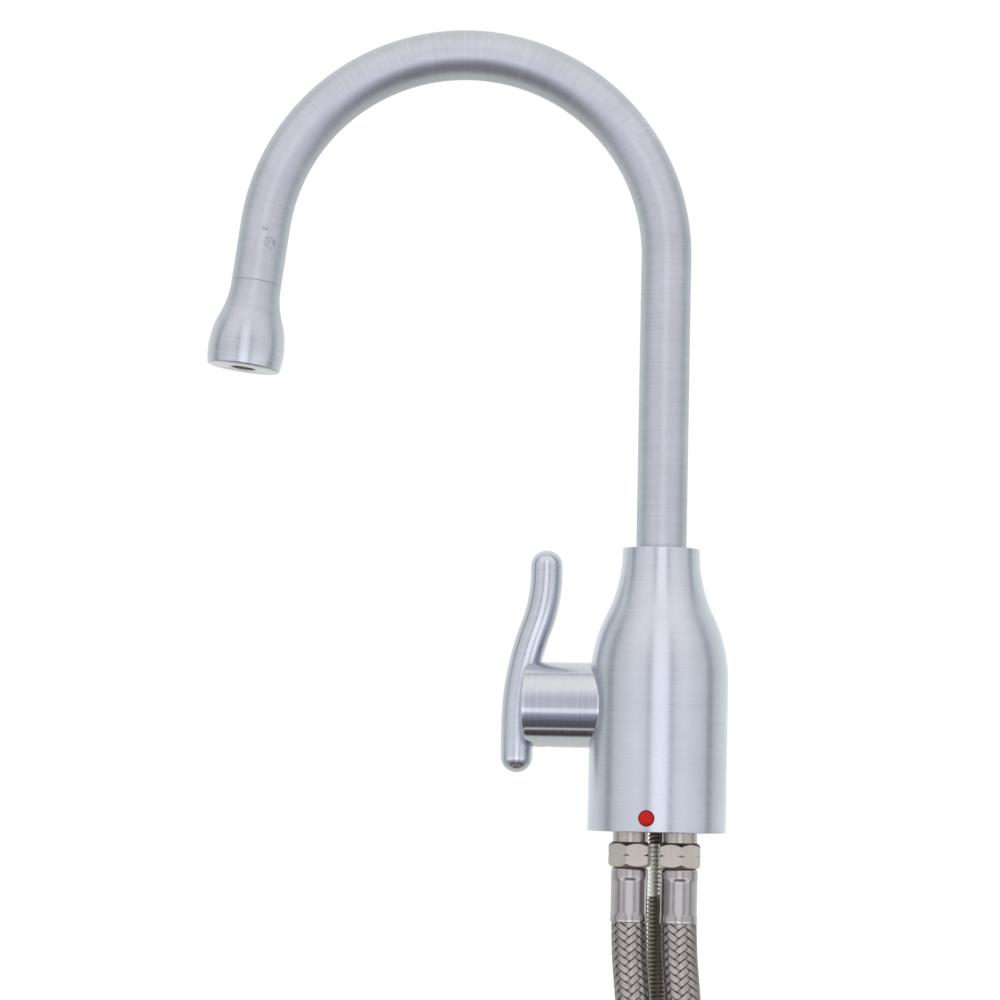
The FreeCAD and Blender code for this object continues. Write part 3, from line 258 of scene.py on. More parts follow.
class StageSettings(bpy.types.PropertyGroup):
    azimuth: angle("Azimuth", "How far the camera stands to the right of the front", 11.5)
    distance: length("Distance", "Level distance from the camera to the tap's axis", 969.4)
    eye: length("Eye height", "Height of the camera above the worktop", 16.4)
    aim_left: length("Aim left", "How far left of the axis the camera aims", 51.9)
    aim_up: length("Aim height", "Height that the camera aims at", 104.42)
    roll: angle("Roll", "How far the camera leans", 1.28)
    lens: FloatProperty(name="Lens", description="Focal length", default=109.5, subtype="DISTANCE_CAMERA")
    floor_colour: colour("Floor", "Pale floor", 0.9, 0.9, 0.9)


# Mesh helpers

def arc(centre, radius, start, end, steps):
    """Points on an arc, in degrees, both ends among them."""
    turns = [math.radians(start + (end - start) * i / steps) for i in range(steps + 1)]
    return [(centre[0] + radius * math.cos(t), centre[1] + radius * math.sin(t)) for t in turns]


def run(start, end, step):
    """Points on a straight run at about a step apart, without its end."""
    count = max(1, round(math.dist(start, end) / step))
    return [tuple(a + (b - a) * i / count for a, b in zip(start, end)) for i in range(count)]


def s_bend_radius(across, along):
    """The radius of two equal arcs that make an S of this width and length."""
    return (across * across + along * along) / (4 * across)


def portion(value):
    """A number kept between 0 and 1."""
    return min(1.0, max(0.0, value))


def eased(share):
    """A share from 0 to 1 that starts and ends gently."""
    return share * share * (3 - 2 * share)


def placed(spot, turn, axis):
    """A place at a spot, turned about an axis."""
    return Matrix.Translation(spot) @ Matrix.Rotation(turn, 4, axis)


def ring(centre, first, second, radius, count):
    """Points round a centre, from the first way towards the second."""
    turns = [2 * math.pi * j / count for j in range(count)]
    return [centre + first * (radius * math.cos(t)) + second * (radius * math.sin(t)) for t in turns]


def new_object(name, data):
    piece = bpy.data.objects.new(name, data)
    bpy.context.scene.collection.objects.link(piece)
    return piece


def skin(name, rings, along, loop=False):
    """A mesh over rings of points; a ring of one point is a pole. The finish reads the distance along."""
    count = max(len(points) for points in rings)
    starts, points = [], []
    for one in rings:
        starts.append(len(points))
        points += one
    faces, spots = [], []
    pairs = list(zip(range(len(rings) - 1), range(1, len(rings))))
    if loop:
        pairs.append((len(rings) - 1, 0))
    for a, b in pairs:
        for j in range(count):
            k = (j + 1) % count
            corners = []
            for row, column, around in ((a, j, j), (a, k, j + 1), (b, k, j + 1), (b, j, j)):
                pole = len(rings[row]) == 1
                if pole and corners and corners[-1][0] == starts[row]:
                    continue
                corners.append((starts[row] + (0 if pole else column), (along[row], around / count)))
            if len({corner[0] for corner in corners}) < 3:
                continue
            faces.append([corner[0] for corner in corners])
            spots += [corner[1] for corner in corners]
    mesh = bpy.data.meshes.new(name)
    mesh.from_pydata(points, [], faces)
    grain = mesh.uv_layers.new(name="grain")
    grain.data.foreach_set("uv", [number for spot in spots for number in spot])
    piece = new_object(name, mesh)
    mark_rings(piece, "brush", rings, along)
    return piece


def mark(piece, name, values):
    """Keeps a number on each point of a piece for its finish."""
    kept = piece.data.attributes.get(name) or piece.data.attributes.new(name, "FLOAT", "POINT")
    kept.data.foreach_set("value", values)


def mark_rings(piece, name, rings, values):
    """Keeps one number for all points of each ring."""
    mark(piece, name, [value for points, value in zip(rings, values) for point in points])


def travelled(points):
    """The distance along a line of points."""
    distances = [0.0]
    for a, b in zip(points, points[1:]):
        distances.append(distances[-1] + math.dist(a, b))
    return distances


def round_rings(profile, place=Matrix(), count=96):
    """Rings of a profile of radius and height about a place's Z axis; a radius of 0 is a pole."""
    axis, first, second = (place.to_3x3() @ way for way in (UP, RIGHT, BACK))
    rings = []
    for radius, height in profile:
        centre = place.to_translation() + axis * height
        rings.append([centre] if radius == 0 else ring(centre, first, second, radius, count))
    return rings


def turned(name, profile, place=Matrix(), count=96):
    """A piece turned from a profile of radius and height."""
    return skin(name, round_rings(profile, place, count), travelled(profile))


def plug(name, radius, low, high, place, count=48):
    """A plain round cutter between two heights."""
    return turned(name, [(0, low), (radius, low), (radius, high), (0, high)], place, count)


def rod_rings(points, side, radius, count):
    """Rings square to a flat line of points; side is square to its plane."""
    rings = []
    for i, point in enumerate(points):
        way = (points[min(i + 1, len(points) - 1)] - points[max(i - 1, 0)]).normalized()
        rings.append(ring(point, side, way.cross(side), radius, count))
    return rings


def hexagon_rings(centre, flats, bottom, top, chamfer, bevel, turn, nick, count):
    """Rings up a hexagon: bevelled end, side, a nick in each corner if asked, side and bevelled end."""
    inner = flats / 2 - chamfer / 2
    slope = math.tan(bevel)
    notch = flats / math.sqrt(3) - nick
    middle = (bottom + top) / 2
    nick_steepness = 0.7
    columns = []
    for j in range(count):
        way = 2 * math.pi * j / count
        side = flats / 2 / math.cos(way % (math.pi / 3) - math.pi / 6)
        fall = (side - inner) * slope
        spots = [(inner, bottom), (side, bottom + fall), (side, top - fall), (inner, top)]
        if nick:
            half = nick_steepness * max(0.0, side - notch)
            spots[2:2] = [(side, middle - half), (min(side, notch), middle), (side, middle + half)]
        x, y = math.cos(way + turn), math.sin(way + turn)
        columns.append([centre + Vector((size * x, size * y, height)) for size, height in spots])
    return [list(row) for row in zip(*columns)]


def plain_mesh(piece):
    """Turns what a piece's modifiers show into its own mesh."""
    shown = piece.evaluated_get(bpy.context.evaluated_depsgraph_get())
    mesh = bpy.data.meshes.new_from_object(shown)
    mesh.name = piece.name
    piece.modifiers.clear()
    piece.data = mesh


def carve(piece, cutters, operation="DIFFERENCE"):
    """Cuts other shapes out of a piece, or joins them to it, and removes them."""
    for cutter in cutters:
        cut = piece.modifiers.new("cut", "BOOLEAN")
        cut.operation = operation
        cut.solver = "EXACT"
        cut.object = cutter
    plain_mesh(piece)
    for cutter in cutters:
        bpy.data.objects.remove(cutter)


def join(piece, others):
    """Adds the faces of other pieces to a piece."""
    with bpy.context.temp_override(active_object=piece, selected_editable_objects=[piece, *others]):
        bpy.ops.object.join()


def smooth(piece, degrees=30):
    """Smooth shading with sharp edges where the faces meet at more than this."""
    piece.data.polygons.foreach_set("use_smooth", [True] * len(piece.data.polygons))
    piece.data.set_sharp_from_angle(angle=math.radians(degrees))


def settle(piece, body, slot, finish=None):
    """Gives a finished piece its material, by its slot or its own finish, and its body. It hides the node
    that it is named after, which it stands in for.
    """
    piece.data.materials.clear()
    piece.data.materials.append(finish_for(finish or slot))
    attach(piece, body)
    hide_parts(piece.name.removesuffix("_piece"))


# Node helpers

def feed(tree, socket, value):
    """Links a field or a socket to an input, or sets the input's own value."""
    if isinstance(value, Field):
        value = value.socket
    if isinstance(value, bpy.types.NodeSocket):
        tree.links.new(value, socket)
    else:
        socket.default_value = value


def add_node(tree, kind, inputs=None, **settings):
    """A new node with these settings and inputs."""
    node = tree.nodes.new(kind)
    for name, value in settings.items():
        setattr(node, name, value)
    for name, value in (inputs or {}).items():
        feed(tree, node.inputs[name], value)
    return node


class Field:
    """A number in a node tree, with the usual sums."""

    def __init__(self, tree, socket):
        self.tree = tree
        self.socket = socket

    def math(self, operation, *others):
        inputs = dict(enumerate((self, *others)))
        node = add_node(self.tree, "ShaderNodeMath", inputs, operation=operation)
        return Field(self.tree, node.outputs[0])

    def __add__(self, other):
        return self.math("ADD", other)

    def __sub__(self, other):
        return self.math("SUBTRACT", other)

    def __mul__(self, other):
        return self.math("MULTIPLY", other)

    def __truediv__(self, other):
        return self.math("DIVIDE", other)

    def clamped(self, low, high):
        return self.math("MAXIMUM", low).math("MINIMUM", high)

    def ranged(self, low, high, to_low, to_high, kind="SMOOTHSTEP"):
        inputs = {"Value": self, "From Min": low, "From Max": high, "To Min": to_low, "To Max": to_high}
        node = add_node(self.tree, "ShaderNodeMapRange", inputs, interpolation_type=kind)
        return Field(self.tree, node.outputs["Result"])

    def spread(self, to_low, to_high):
        """Spreads the middle of a noise evenly over a range."""
        return self.ranged(0.3, 0.7, to_low, to_high, "LINEAR")


def vector(tree, x, y, z):
    """A vector of three fields or numbers."""
    return add_node(tree, "ShaderNodeCombineXYZ", {0: x, 1: y, 2: z}).outputs[0]


def parts_of(tree, socket):
    """The three numbers of a vector."""
    node = add_node(tree, "ShaderNodeSeparateXYZ", {0: socket})
    return [Field(tree, output) for output in node.outputs]


def vector_sum(tree, operation, first, second):
    """A sum on two vectors, or on a vector and a number for SCALE."""
    inputs = {0: first, "Scale" if operation == "SCALE" else 1: second}
    node = add_node(tree, "ShaderNodeVectorMath", inputs, operation=operation)
    return node.outputs["Value" if operation == "DISTANCE" else "Vector"]


def times(base, factor):
    """A colour made darker or lighter."""
    return tuple(part * factor for part in base)


def mixed(tree, first, second, factor, blend="MIX"):
    """Two colours mixed by a field or a number; each is a socket or three numbers."""
    node = add_node(tree, "ShaderNodeMix", data_type="RGBA", blend_type=blend)
    feed(tree, node.inputs[0], factor)
    colours = [socket for socket in node.inputs if socket.type == "RGBA"]
    for socket, value in zip(colours, (first, second)):
        feed(tree, socket, (*value, 1) if isinstance(value, tuple) else value)
    return next(output for output in node.outputs if output.type == "RGBA")


def ramp(tree, field, stops, interpolation="LINEAR"):
    """Colours along a field; each stop is a place from 0 to 1 and a colour."""
    node = add_node(tree, "ShaderNodeValToRGB", {"Fac": field})
    node.color_ramp.interpolation = interpolation
    elements = node.color_ramp.elements
    while len(elements) < len(stops):
        elements.new(1.0)
    for element, (place, value) in zip(elements, stops):
        element.position = place
        element.color = (*value, 1)
    return node.outputs["Color"]


class Finish:
    """A procedural material in the making."""

    def __init__(self, name, base, metallic, roughness):
        self.material = bpy.data.materials.new(f"{name}_finish")
        self.material.use_nodes = True
        self.material.diffuse_color = (*base, 1)
        self.tree = self.material.node_tree
        self.shader = self.tree.nodes["Principled BSDF"]
        self.base = tuple(base)
        self.drive("Base Color", (*base, 1))
        self.drive("Metallic", metallic)
        self.drive("Roughness", roughness)

    def drive(self, name, value):
        feed(self.tree, self.shader.inputs[name], value)

    def place(self):
        return add_node(self.tree, "ShaderNodeTexCoord").outputs["Object"]

    def stored(self, name):
        node = add_node(self.tree, "ShaderNodeAttribute", attribute_name=name)
        return Field(self.tree, node.outputs["Fac"])

    def noise(self, where, scale, detail=2.0, roughness=0.5):
        inputs = {"Vector": where, "Scale": scale, "Detail": detail, "Roughness": roughness}
        return Field(self.tree, add_node(self.tree, "ShaderNodeTexNoise", inputs).outputs["Fac"])

    def tint(self, noise, low, high):
        """Colour from the base times low to the base times high, as the noise rises."""
        colours = [[min(1.0, part) for part in times(self.base, factor)] for factor in (low, high)]
        return ramp(self.tree, noise.spread(0, 1), list(enumerate(colours)))

    def bump(self, field, distance):
        node = add_node(self.tree, "ShaderNodeBump", {"Distance": distance, "Strength": 1.0, "Height": field})
        self.drive("Normal", node.outputs["Normal"])

    def follow_grain(self, amount):
        """Stretches the gloss across the brush lines, by the piece's own grain."""
        tangent = add_node(self.tree, "ShaderNodeTangent", direction_type="UV_MAP", uv_map="grain")
        self.drive("Anisotropic", amount)
        self.drive("Tangent", tangent.outputs[0])


# Finishes

# Bare brass that shows where a brushed piece is marked as hollow, darkened far below the brass finish as
# painted shade inside it
SHADED_BRASS_INSIDE = (0.17, 0.11, 0.068)
# Heights between which the stud's plate keeps its bright colour, with painted shade above and below, and how
# soft and ragged the band's ends are
PLATE_LOW, PLATE_HIGH = -20.4 * MM, -3.6 * MM
PLATE_FADE, PLATE_RAGGED = 0.2 * MM, 0.6 * MM


def brushed_metal(name, base, roughness, streak, gloss_stretch, polished=0.0, scuffs=()):
    """Metal with fine brush lines round the piece, faint clouds and small dark scuffs.

    The mesh may mark where it is polished, or duller if the mark is below 0, and where it is hollow and
    shows its brass, darkened as painted shade.
    """
    finish = Finish(name, base, 1.0, roughness)
    tree, place = finish.tree, finish.place()
    x, y, z = parts_of(tree, place)
    along = finish.stored("brush")

    def lines(wander, closeness, *detail):
        """Noise drawn out into lines round the piece, which wander a little."""
        steps = z * (wander * 2 / 3) + along * closeness
        return finish.noise(vector(tree, x * wander, y * wander, steps), 1.0, *detail)

    fine, broad = lines(90, 5200, 3.0, 0.65), lines(30, 1100)
    clouds = finish.noise(place, 70.0, 3.0, 0.6)
    drawn = fine * 0.65 + broad * 0.35
    shade = finish.tint(drawn * 0.7 + clouds * 0.3, 1 - streak, 1 + streak * 0.7)
    scratch = finish.noise(place, 1500.0, 2.0, 0.7).ranged(0.49, 0.59, 0, 0.85)
    for spot, reach in scuffs:
        near = Field(tree, vector_sum(tree, "DISTANCE", place, spot)).ranged(reach * 0.4, reach, 1, 0)
        shade = mixed(tree, shade, times(base, 0.35), near * scratch)
    # bare brass with painted shade where the piece is marked hollow
    finish.drive("Base Color", mixed(tree, shade, SHADED_BRASS_INSIDE, finish.stored("hollow")))
    polish = finish.stored("polish")
    rough = drawn.spread(roughness - 0.06, roughness + 0.08)
    finish.drive("Roughness", rough - polish * (roughness - polished))
    finish.bump(drawn * (polish.math("ABSOLUTE") * -0.8 + 1), distance=0.003 * MM)
    finish.follow_grain(gloss_stretch)


def plated_metal(name, base, roughness, mottle, grain_scale):
    """Plated metal with a fine mottle and uneven gloss, glossier where marked as polished and darker there as
    painted shade, in place of the polished part's dark reflections.
    """
    finish = Finish(name, base, 1.0, roughness)
    place = finish.place()
    fine = finish.noise(place, grain_scale, 3.0, 0.6)
    clouds = finish.noise(place, grain_scale / 12)
    mottled = fine * 0.5 + clouds * 0.5
    polish = finish.stored("polish")
    shade = finish.tint(mottled, 1 - mottle, 1 + mottle / 2)
    # painted shade: the colour is darkened where polished, standing in for the darker reflections of the
    # polished collar
    finish.drive("Base Color", mixed(finish.tree, shade, times(base, 0.77), polish))
    finish.drive("Roughness", mottled.spread(roughness - 0.05, roughness + 0.07) * (polish * -0.45 + 1))
    finish.bump(fine, distance=0.01 * MM)


def woven_wire(name, base):
    """Stainless wire: each strand a little different, with painted shade where it dips under the others."""
    finish = Finish(name, base, 1.0, 0.3)
    own = finish.noise(vector(finish.tree, finish.stored("strand") * 7.3, 0, 0), 1.0, 0.0)
    fine = finish.noise(finish.place(), 1500.0, 2.0, 0.6)
    shade = finish.tint(own * 0.6 + fine * 0.4, 0.82, 1.12)
    # painted shade: a strand's colour is darkened where its lift is low, under the strands that cross it
    above = finish.stored("lift").ranged(0.3, 0.95, 0, 1)
    finish.drive("Base Color", mixed(finish.tree, times(base, 0.25), shade, above))
    finish.drive("Roughness", fine.spread(0.24, 0.38))


def banded_steel_with_painted_shade(name, bright, dark):
    """Steel with a band of bright plate below the body, darkened above and below the band as painted shade:
    the shadow under the body above, the shade between the hoses below.
    """
    finish = Finish(name, bright, 1.0, 0.38)
    place = finish.place()
    fine = finish.noise(place, 800.0, 3.0, 0.6)
    height = parts_of(finish.tree, place)[2] + fine * PLATE_RAGGED
    lower = height.ranged(PLATE_LOW - PLATE_FADE, PLATE_LOW + PLATE_FADE, 1, 0)
    upper = height.ranged(PLATE_HIGH - PLATE_FADE, PLATE_HIGH + PLATE_FADE, 0, 1)
    # painted shade: the steel's colour and the tint of its reflections are darkened above and below the
    # bright band
    painted_shade = lower.math("MAXIMUM", upper)
    finish.drive("Base Color", mixed(finish.tree, finish.tint(fine, 0.85, 1.05), tuple(dark), painted_shade))
    finish.drive("Specular Tint", mixed(finish.tree, WHITE, (0.4, 0.38, 0.35), painted_shade))
    finish.drive("Roughness", fine.spread(0.24, 0.36) + painted_shade * 0.1)


def moulded(name, base, roughness, grain, scale, gloss=0.5):
    """Moulded plastic, rubber or ceramic with a fine grain and faint clouds, with painted shade where marked
    as a rim.
    """
    finish = Finish(name, base, 0.0, roughness)
    finish.drive("Specular IOR Level", gloss)
    place = finish.place()
    fine = finish.noise(place, scale, 3.0, 0.6)
    clouds = finish.noise(place, scale / 15)
    shade = finish.tint(fine * 0.4 + clouds * 0.6, 0.85, 1.12)
    # painted shade: darkened where the mesh marks a rim, for the shadow in the gap round the button
    finish.drive("Base Color", mixed(finish.tree, shade, times(base, 0.25), finish.stored("rim")))
    finish.drive("Roughness", fine.spread(max(0.03, roughness - 0.08), roughness + 0.08))
    finish.bump(fine, grain)


def make_finishes(colours):
    """A material for each of the record's slots, and one for the spout, which is duller than the body."""
    brushed_metal("brushed_nickel", colours.nickel, 0.31, streak=0.13, gloss_stretch=0.82)
    brushed_metal("drawn_nickel", colours.drawn, 0.47, streak=0.2, gloss_stretch=0.45, scuffs=SPOUT_SCUFFS)
    brushed_metal("satin_nickel", colours.satin, 0.33, streak=0.1, gloss_stretch=0.5, polished=0.14)
    plated_metal("plated_brass", colours.plate, 0.34, mottle=0.12, grain_scale=900.0)
    plated_metal("polished_sleeve", colours.sleeve, 0.17, mottle=0.05, grain_scale=500.0)
    plated_metal("bare_brass", colours.brass, 0.25, mottle=0.1, grain_scale=600.0)
    woven_wire("steel_braid", colours.wire)
    banded_steel_with_painted_shade("plated_steel", colours.stud, colours.stud_painted_shade)
    moulded("seal_rubber", colours.rubber, 0.55, grain=0.02 * MM, scale=1500.0)
    moulded("valve_ceramic", colours.ceramic, 0.2, grain=0.004 * MM, scale=1200.0)
    moulded("red_lens", colours.red, 0.3, grain=0.003 * MM, scale=700.0, gloss=0.2)
    moulded("white_plastic", colours.white, 0.42, grain=0.01 * MM, scale=1100.0)
    moulded("strap_plastic", colours.strap, 0.45, grain=0.02 * MM, scale=1300.0)


def finish_for(slot):
    return bpy.data.materials[f"{slot}_finish"]


# Geometry Nodes

class Tree:
    """A Geometry Nodes tree in the making, with inputs named under their kinds."""

    def __init__(self, name, **inputs):
        self.group = bpy.data.node_groups.new(name, "GeometryNodeTree")
        sockets = self.group.interface
        sockets.new_socket("Geometry", in_out="INPUT", socket_type="NodeSocketGeometry")
        sockets.new_socket("Geometry", in_out="OUTPUT", socket_type="NodeSocketGeometry")
        for kind, labels in inputs.items():
            for label in labels:
                sockets.new_socket(label, in_out="INPUT", socket_type=f"NodeSocket{kind}")
        self.entry = self.node("NodeGroupInput")

    def node(self, kind, inputs=None, **settings):
        return add_node(self.group, kind, inputs, **settings)

    def given(self, label):
        return Field(self.group, self.entry.outputs[label])

    def grid(self, across, along):
        """A flat unit square of this many points each way."""
        inputs = {"Size X": 1.0, "Size Y": 1.0, "Vertices X": across, "Vertices Y": along}
        return self.node("GeometryNodeMeshGrid", inputs).outputs["Mesh"]

    def on_grid(self):
        """Where a point is on its square, across and along."""
        return parts_of(self.group, self.node("GeometryNodeInputPosition").outputs[0])[:2]

    def keep(self, geometry, name, value):
        """Keeps a number on each point."""
        inputs = {"Geometry": geometry, "Name": name, "Value": value}
        node = self.node("GeometryNodeStoreNamedAttribute", inputs, data_type="FLOAT", domain="POINT")
        return node.outputs["Geometry"]

    def move(self, geometry, spot):
        return self.node("GeometryNodeSetPosition", {"Geometry": geometry, "Position": spot}).outputs[0]

    def close(self, geometry):
        """Ends the tree in realized faces with the given material."""
        realized = self.node("GeometryNodeRealizeInstances", {"Geometry": geometry}).outputs[0]
        inputs = {"Geometry": realized, "Material": self.entry.outputs["Material"]}
        painted = self.node("GeometryNodeSetMaterial", inputs)
        self.node("NodeGroupOutput", {"Geometry": painted.outputs[0]})


def grown(name, group, values):
    """A plain mesh piece grown by a tree with these inputs."""
    piece = new_object(name, bpy.data.meshes.new(name))
    modifier = piece.modifiers.new(name, "NODES")
    modifier.node_group = group
    for socket in group.interface.items_tree:
        if socket.in_out == "INPUT" and socket.name in values:
            modifier[socket.identifier] = values[socket.name]
    plain_mesh(piece)
    return piece


def thread_tree():
    """A screw thread along Z: a strip with the thread's profile, wound up a screw line."""
    sizes = ("Crest", "Root", "Pitch", "Low", "High")
    tree = Tree("Screw Thread", Float=sizes, Int=("Round",), Material=("Material",))
    crest, root, pitch, low, high = map(tree.given, sizes)
    # points across the strip, and a ridge made steep and then sunk, so that its crest and its root are flat
    strip_points, steep, sunk = 7, 1.35, 0.15
    turns = (high - low) / pitch
    strip = tree.grid(strip_points, turns * tree.given("Round"))
    across, along = tree.on_grid()
    wound = turns * (along + 0.5)
    height = (low + (wound + (across * -1 + 0.5)) * pitch).math("MINIMUM", high)
    ridge = ((across.math("ABSOLUTE") * -2 + 1) * steep - sunk).clamped(0.0, 1.0)
    radius = (root + (crest - root) * ridge).math("MINIMUM", root + (height - low))
    turn = wound * (2 * math.pi)
    spot = vector(tree.group, turn.math("COSINE") * radius, turn.math("SINE") * radius, height)
    inputs = {"Geometry": tree.move(strip, spot), "Distance": 0.01 * MM}
    tree.close(tree.node("GeometryNodeMergeByDistance", inputs).outputs["Geometry"])
    return tree.group


def braid_tree():
    """Flat strands of wire wound both ways round a route, each over two and under two."""
    sizes = ("Radius", "Lead", "Width", "Rise", "Wire Rise", "Start", "End", "Turn")
    counts = ("Strands", "Wires", "Steps")
    tree = Tree("Woven Braid", Object=("Route",), Float=sizes, Int=counts, Material=("Material",))
    radius, lead, width, rise, wire_rise, start, end, weave = map(tree.given, sizes)
    strands, wires, steps = map(tree.given, counts)
    # how steeply a strand goes over or under, where its edge starts, and how far the edge tucks in
    steep, edge_start, tuck = 1.7, 0.49, 0.8
    ribbon = tree.grid(wires * 2 + 1, steps)
    starts = tree.node("GeometryNodePoints", {"Count": strands * 2}).outputs[0]
    numbered = tree.keep(starts, "strand", tree.node("GeometryNodeInputIndex").outputs[0])
    laid = tree.node("GeometryNodeInstanceOnPoints", {"Points": numbered, "Instance": ribbon}).outputs[0]
    realized = tree.node("GeometryNodeRealizeInstances", {"Geometry": laid}).outputs[0]

    stored = tree.node("GeometryNodeInputNamedAttribute", {"Name": "strand"}, data_type="FLOAT")
    strand = Field(tree.group, stored.outputs["Attribute"])
    across, along = tree.on_grid()
    way = strand.math("LESS_THAN", strands) * 2 - 1
    slant = (radius * (2 * math.pi) / lead).math("ARCTANGENT")
    ahead = start + (along + 0.5) * (end - start)
    middle_turn = way * ahead / lead * (2 * math.pi) + strand / strands * (2 * math.pi)
    aside = across * width
    distance = ahead - aside * way * slant.math("SINE")
    turn = middle_turn + aside * slant.math("COSINE") / radius + weave
    wave = (middle_turn * strands / 2 + math.pi / 4).math("SINE") * way
    lift = (wave * steep).clamped(-1.0, 1.0)
    wire = (((across + 0.5) * wires) * math.pi).math("SINE").math("ABSOLUTE")
    edge = (across.math("ABSOLUTE") - edge_start).math("GREATER_THAN", 0.0)
    out = radius + rise * lift + wire_rise * wire - edge * (rise * tuck)

    route = tree.node("GeometryNodeObjectInfo", {"Object": tree.given("Route")}, transform_space="ORIGINAL")
    inputs = {"Curves": route.outputs["Geometry"], "Length": distance}
    followed = tree.node("GeometryNodeSampleCurve", inputs, mode="LENGTH").outputs
    third = vector_sum(tree.group, "CROSS_PRODUCT", followed["Tangent"], followed["Normal"])
    one = vector_sum(tree.group, "SCALE", followed["Normal"], turn.math("COSINE") * out)
    two = vector_sum(tree.group, "SCALE", third, turn.math("SINE") * out)
    spot = vector_sum(tree.group, "ADD", followed["Position"], vector_sum(tree.group, "ADD", one, two))
    # the lift is kept for the finish, which paints shade where a strand dips under
    tree.close(tree.move(tree.keep(realized, "lift", (lift + 1) * 0.5), spot))
    return tree.group


# Operators

def under_hexagon(hose):
    """The height of the lower end of a hose tail's hexagon."""
    return -hose.collar_drop - hose.hex_height


class TAP_OT_camera(bpy.types.Operator):
    """Sets the camera at the photograph's angle"""
    bl_idname = "tap.camera"
    bl_label = "Camera"

    def execute(self, context):
        stage = context.scene.tap_stage
        right = Vector((math.cos(stage.azimuth), math.sin(stage.azimuth), 0))
        ahead = UP.cross(right)
        aim = UP * stage.aim_up - right * stage.aim_left
        eye = UP * stage.eye - right * stage.aim_left - ahead * stage.distance
        camera = new_object("camera", bpy.data.cameras.new("camera"))
        camera.data.lens = stage.lens
        camera.location = eye
        camera.rotation_mode = "QUATERNION"
        look = (aim - eye).to_track_quat("-Z", "Y")
        camera.rotation_quaternion = look @ Matrix.Rotation(stage.roll, 3, "Z").to_quaternion()
        context.scene.camera = camera
        return {"FINISHED"}


class TAP_OT_hoses(bpy.types.Operator):
    """Makes both hoses: a rubber liner on its route and a woven braid round it"""
    bl_idname = "tap.hoses"
    bl_label = "Woven hoses"

    POINTS_IN_TURN = 16
    # the braid shows from just inside a sleeve's mouth, and stands a little proud of the hose's own radius
    IN_SLEEVE = 15.2 * MM
    PROUD = 0.25 * MM
    # the lengths that the braid is woven in: name, where each starts and its steps in a lift
    LENGTHS = (("upper", IN_SLEEVE, 12), ("lower", 90 * MM, 5.5))

    def route(self, hose, name, side):
        """The route's points: down from the sleeve, once round the put-away coil and down to the union."""
        start = Vector((side * hose.spread, -hose.front, under_hexagon(hose) - SLEEVE_CAP))
        points = [start] + [Vector((x * MM, -hose.front, z * MM)) for x, z in HOSE_ROUTES[name]]
        coil_start = points[-1]
        for i in range(1, self.POINTS_IN_TURN + 1):
            turn = i / self.POINTS_IN_TURN
            around = 2 * math.pi * turn
            points.append(coil_start + Vector((
                side * hose.coil_step * eased(turn),
                hose.coil_radius * (math.cos(around) - 1),
                -hose.coil_radius * math.sin(around),
            )))
        points.append(points[-1] - UP * hose.coil_tail)
        return points

    def curve(self, name, points, radius):
        data = bpy.data.curves.new(name, "CURVE")
        data.dimensions = "3D"
        data.bevel_depth = radius
        data.bevel_resolution = 5
        data.use_fill_caps = radius > 0
        spline = data.splines.new("NURBS")
        spline.points.add(len(points) - 1)
        for spot, point in zip(spline.points, points):
            spot.co = (*point, 1)
        spline.use_endpoint_u = True
        spline.order_u = 3
        spline.resolution_u = 12
        return new_object(name, data)

    def execute(self, context):
        hose = context.scene.tap_hoses
        braid = braid_tree()
        for name, side in SIDES:
            points = self.route(hose, name, side)
            line = self.curve(f"{name}_hose_line", points, 0)
            shown = line.evaluated_get(context.evaluated_depsgraph_get())
            spots = [vertex.co.copy() for vertex in bpy.data.meshes.new_from_object(shown).vertices]
            starts = [start for part, start, steps in self.LENGTHS]
            ends = [*starts[1:], travelled(spots)[-1] - self.IN_SLEEVE]
            for (part, start, steps), end in zip(self.LENGTHS, ends):
                piece = grown(f"{name}_hose_{part}_braid", braid, {
                    "Route": line,
                    "Radius": hose.radius + self.PROUD - hose.strand_rise - hose.wire_rise,
                    "Strands": hose.carriers,
                    "Lead": hose.lead,
                    "Width": hose.strand_width,
                    "Rise": hose.strand_rise,
                    "Wires": hose.wires,
                    "Wire Rise": hose.wire_rise,
                    "Start": start,
                    "End": end,
                    "Turn": hose.weave,
                    "Steps": round((end - start) / hose.lead * hose.carriers / 2 * steps),
                    "Material": finish_for("steel_braid"),
                })
                smooth(piece, 180)
                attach(piece, "body")
            bpy.data.objects.remove(line)
            liner = self.curve(f"{name}_hose_liner", points, hose.liner_radius)
            liner.data.materials.append(finish_for("seal_rubber"))
            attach(liner, "body")
            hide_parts(f"{name}_hose", f"{name}_hose_coil")
            ends = [f"{name}_{end}" for end in ("end_ferrule", "union_tail", "union_washer", "union_nut")]
        return {"FINISHED"}


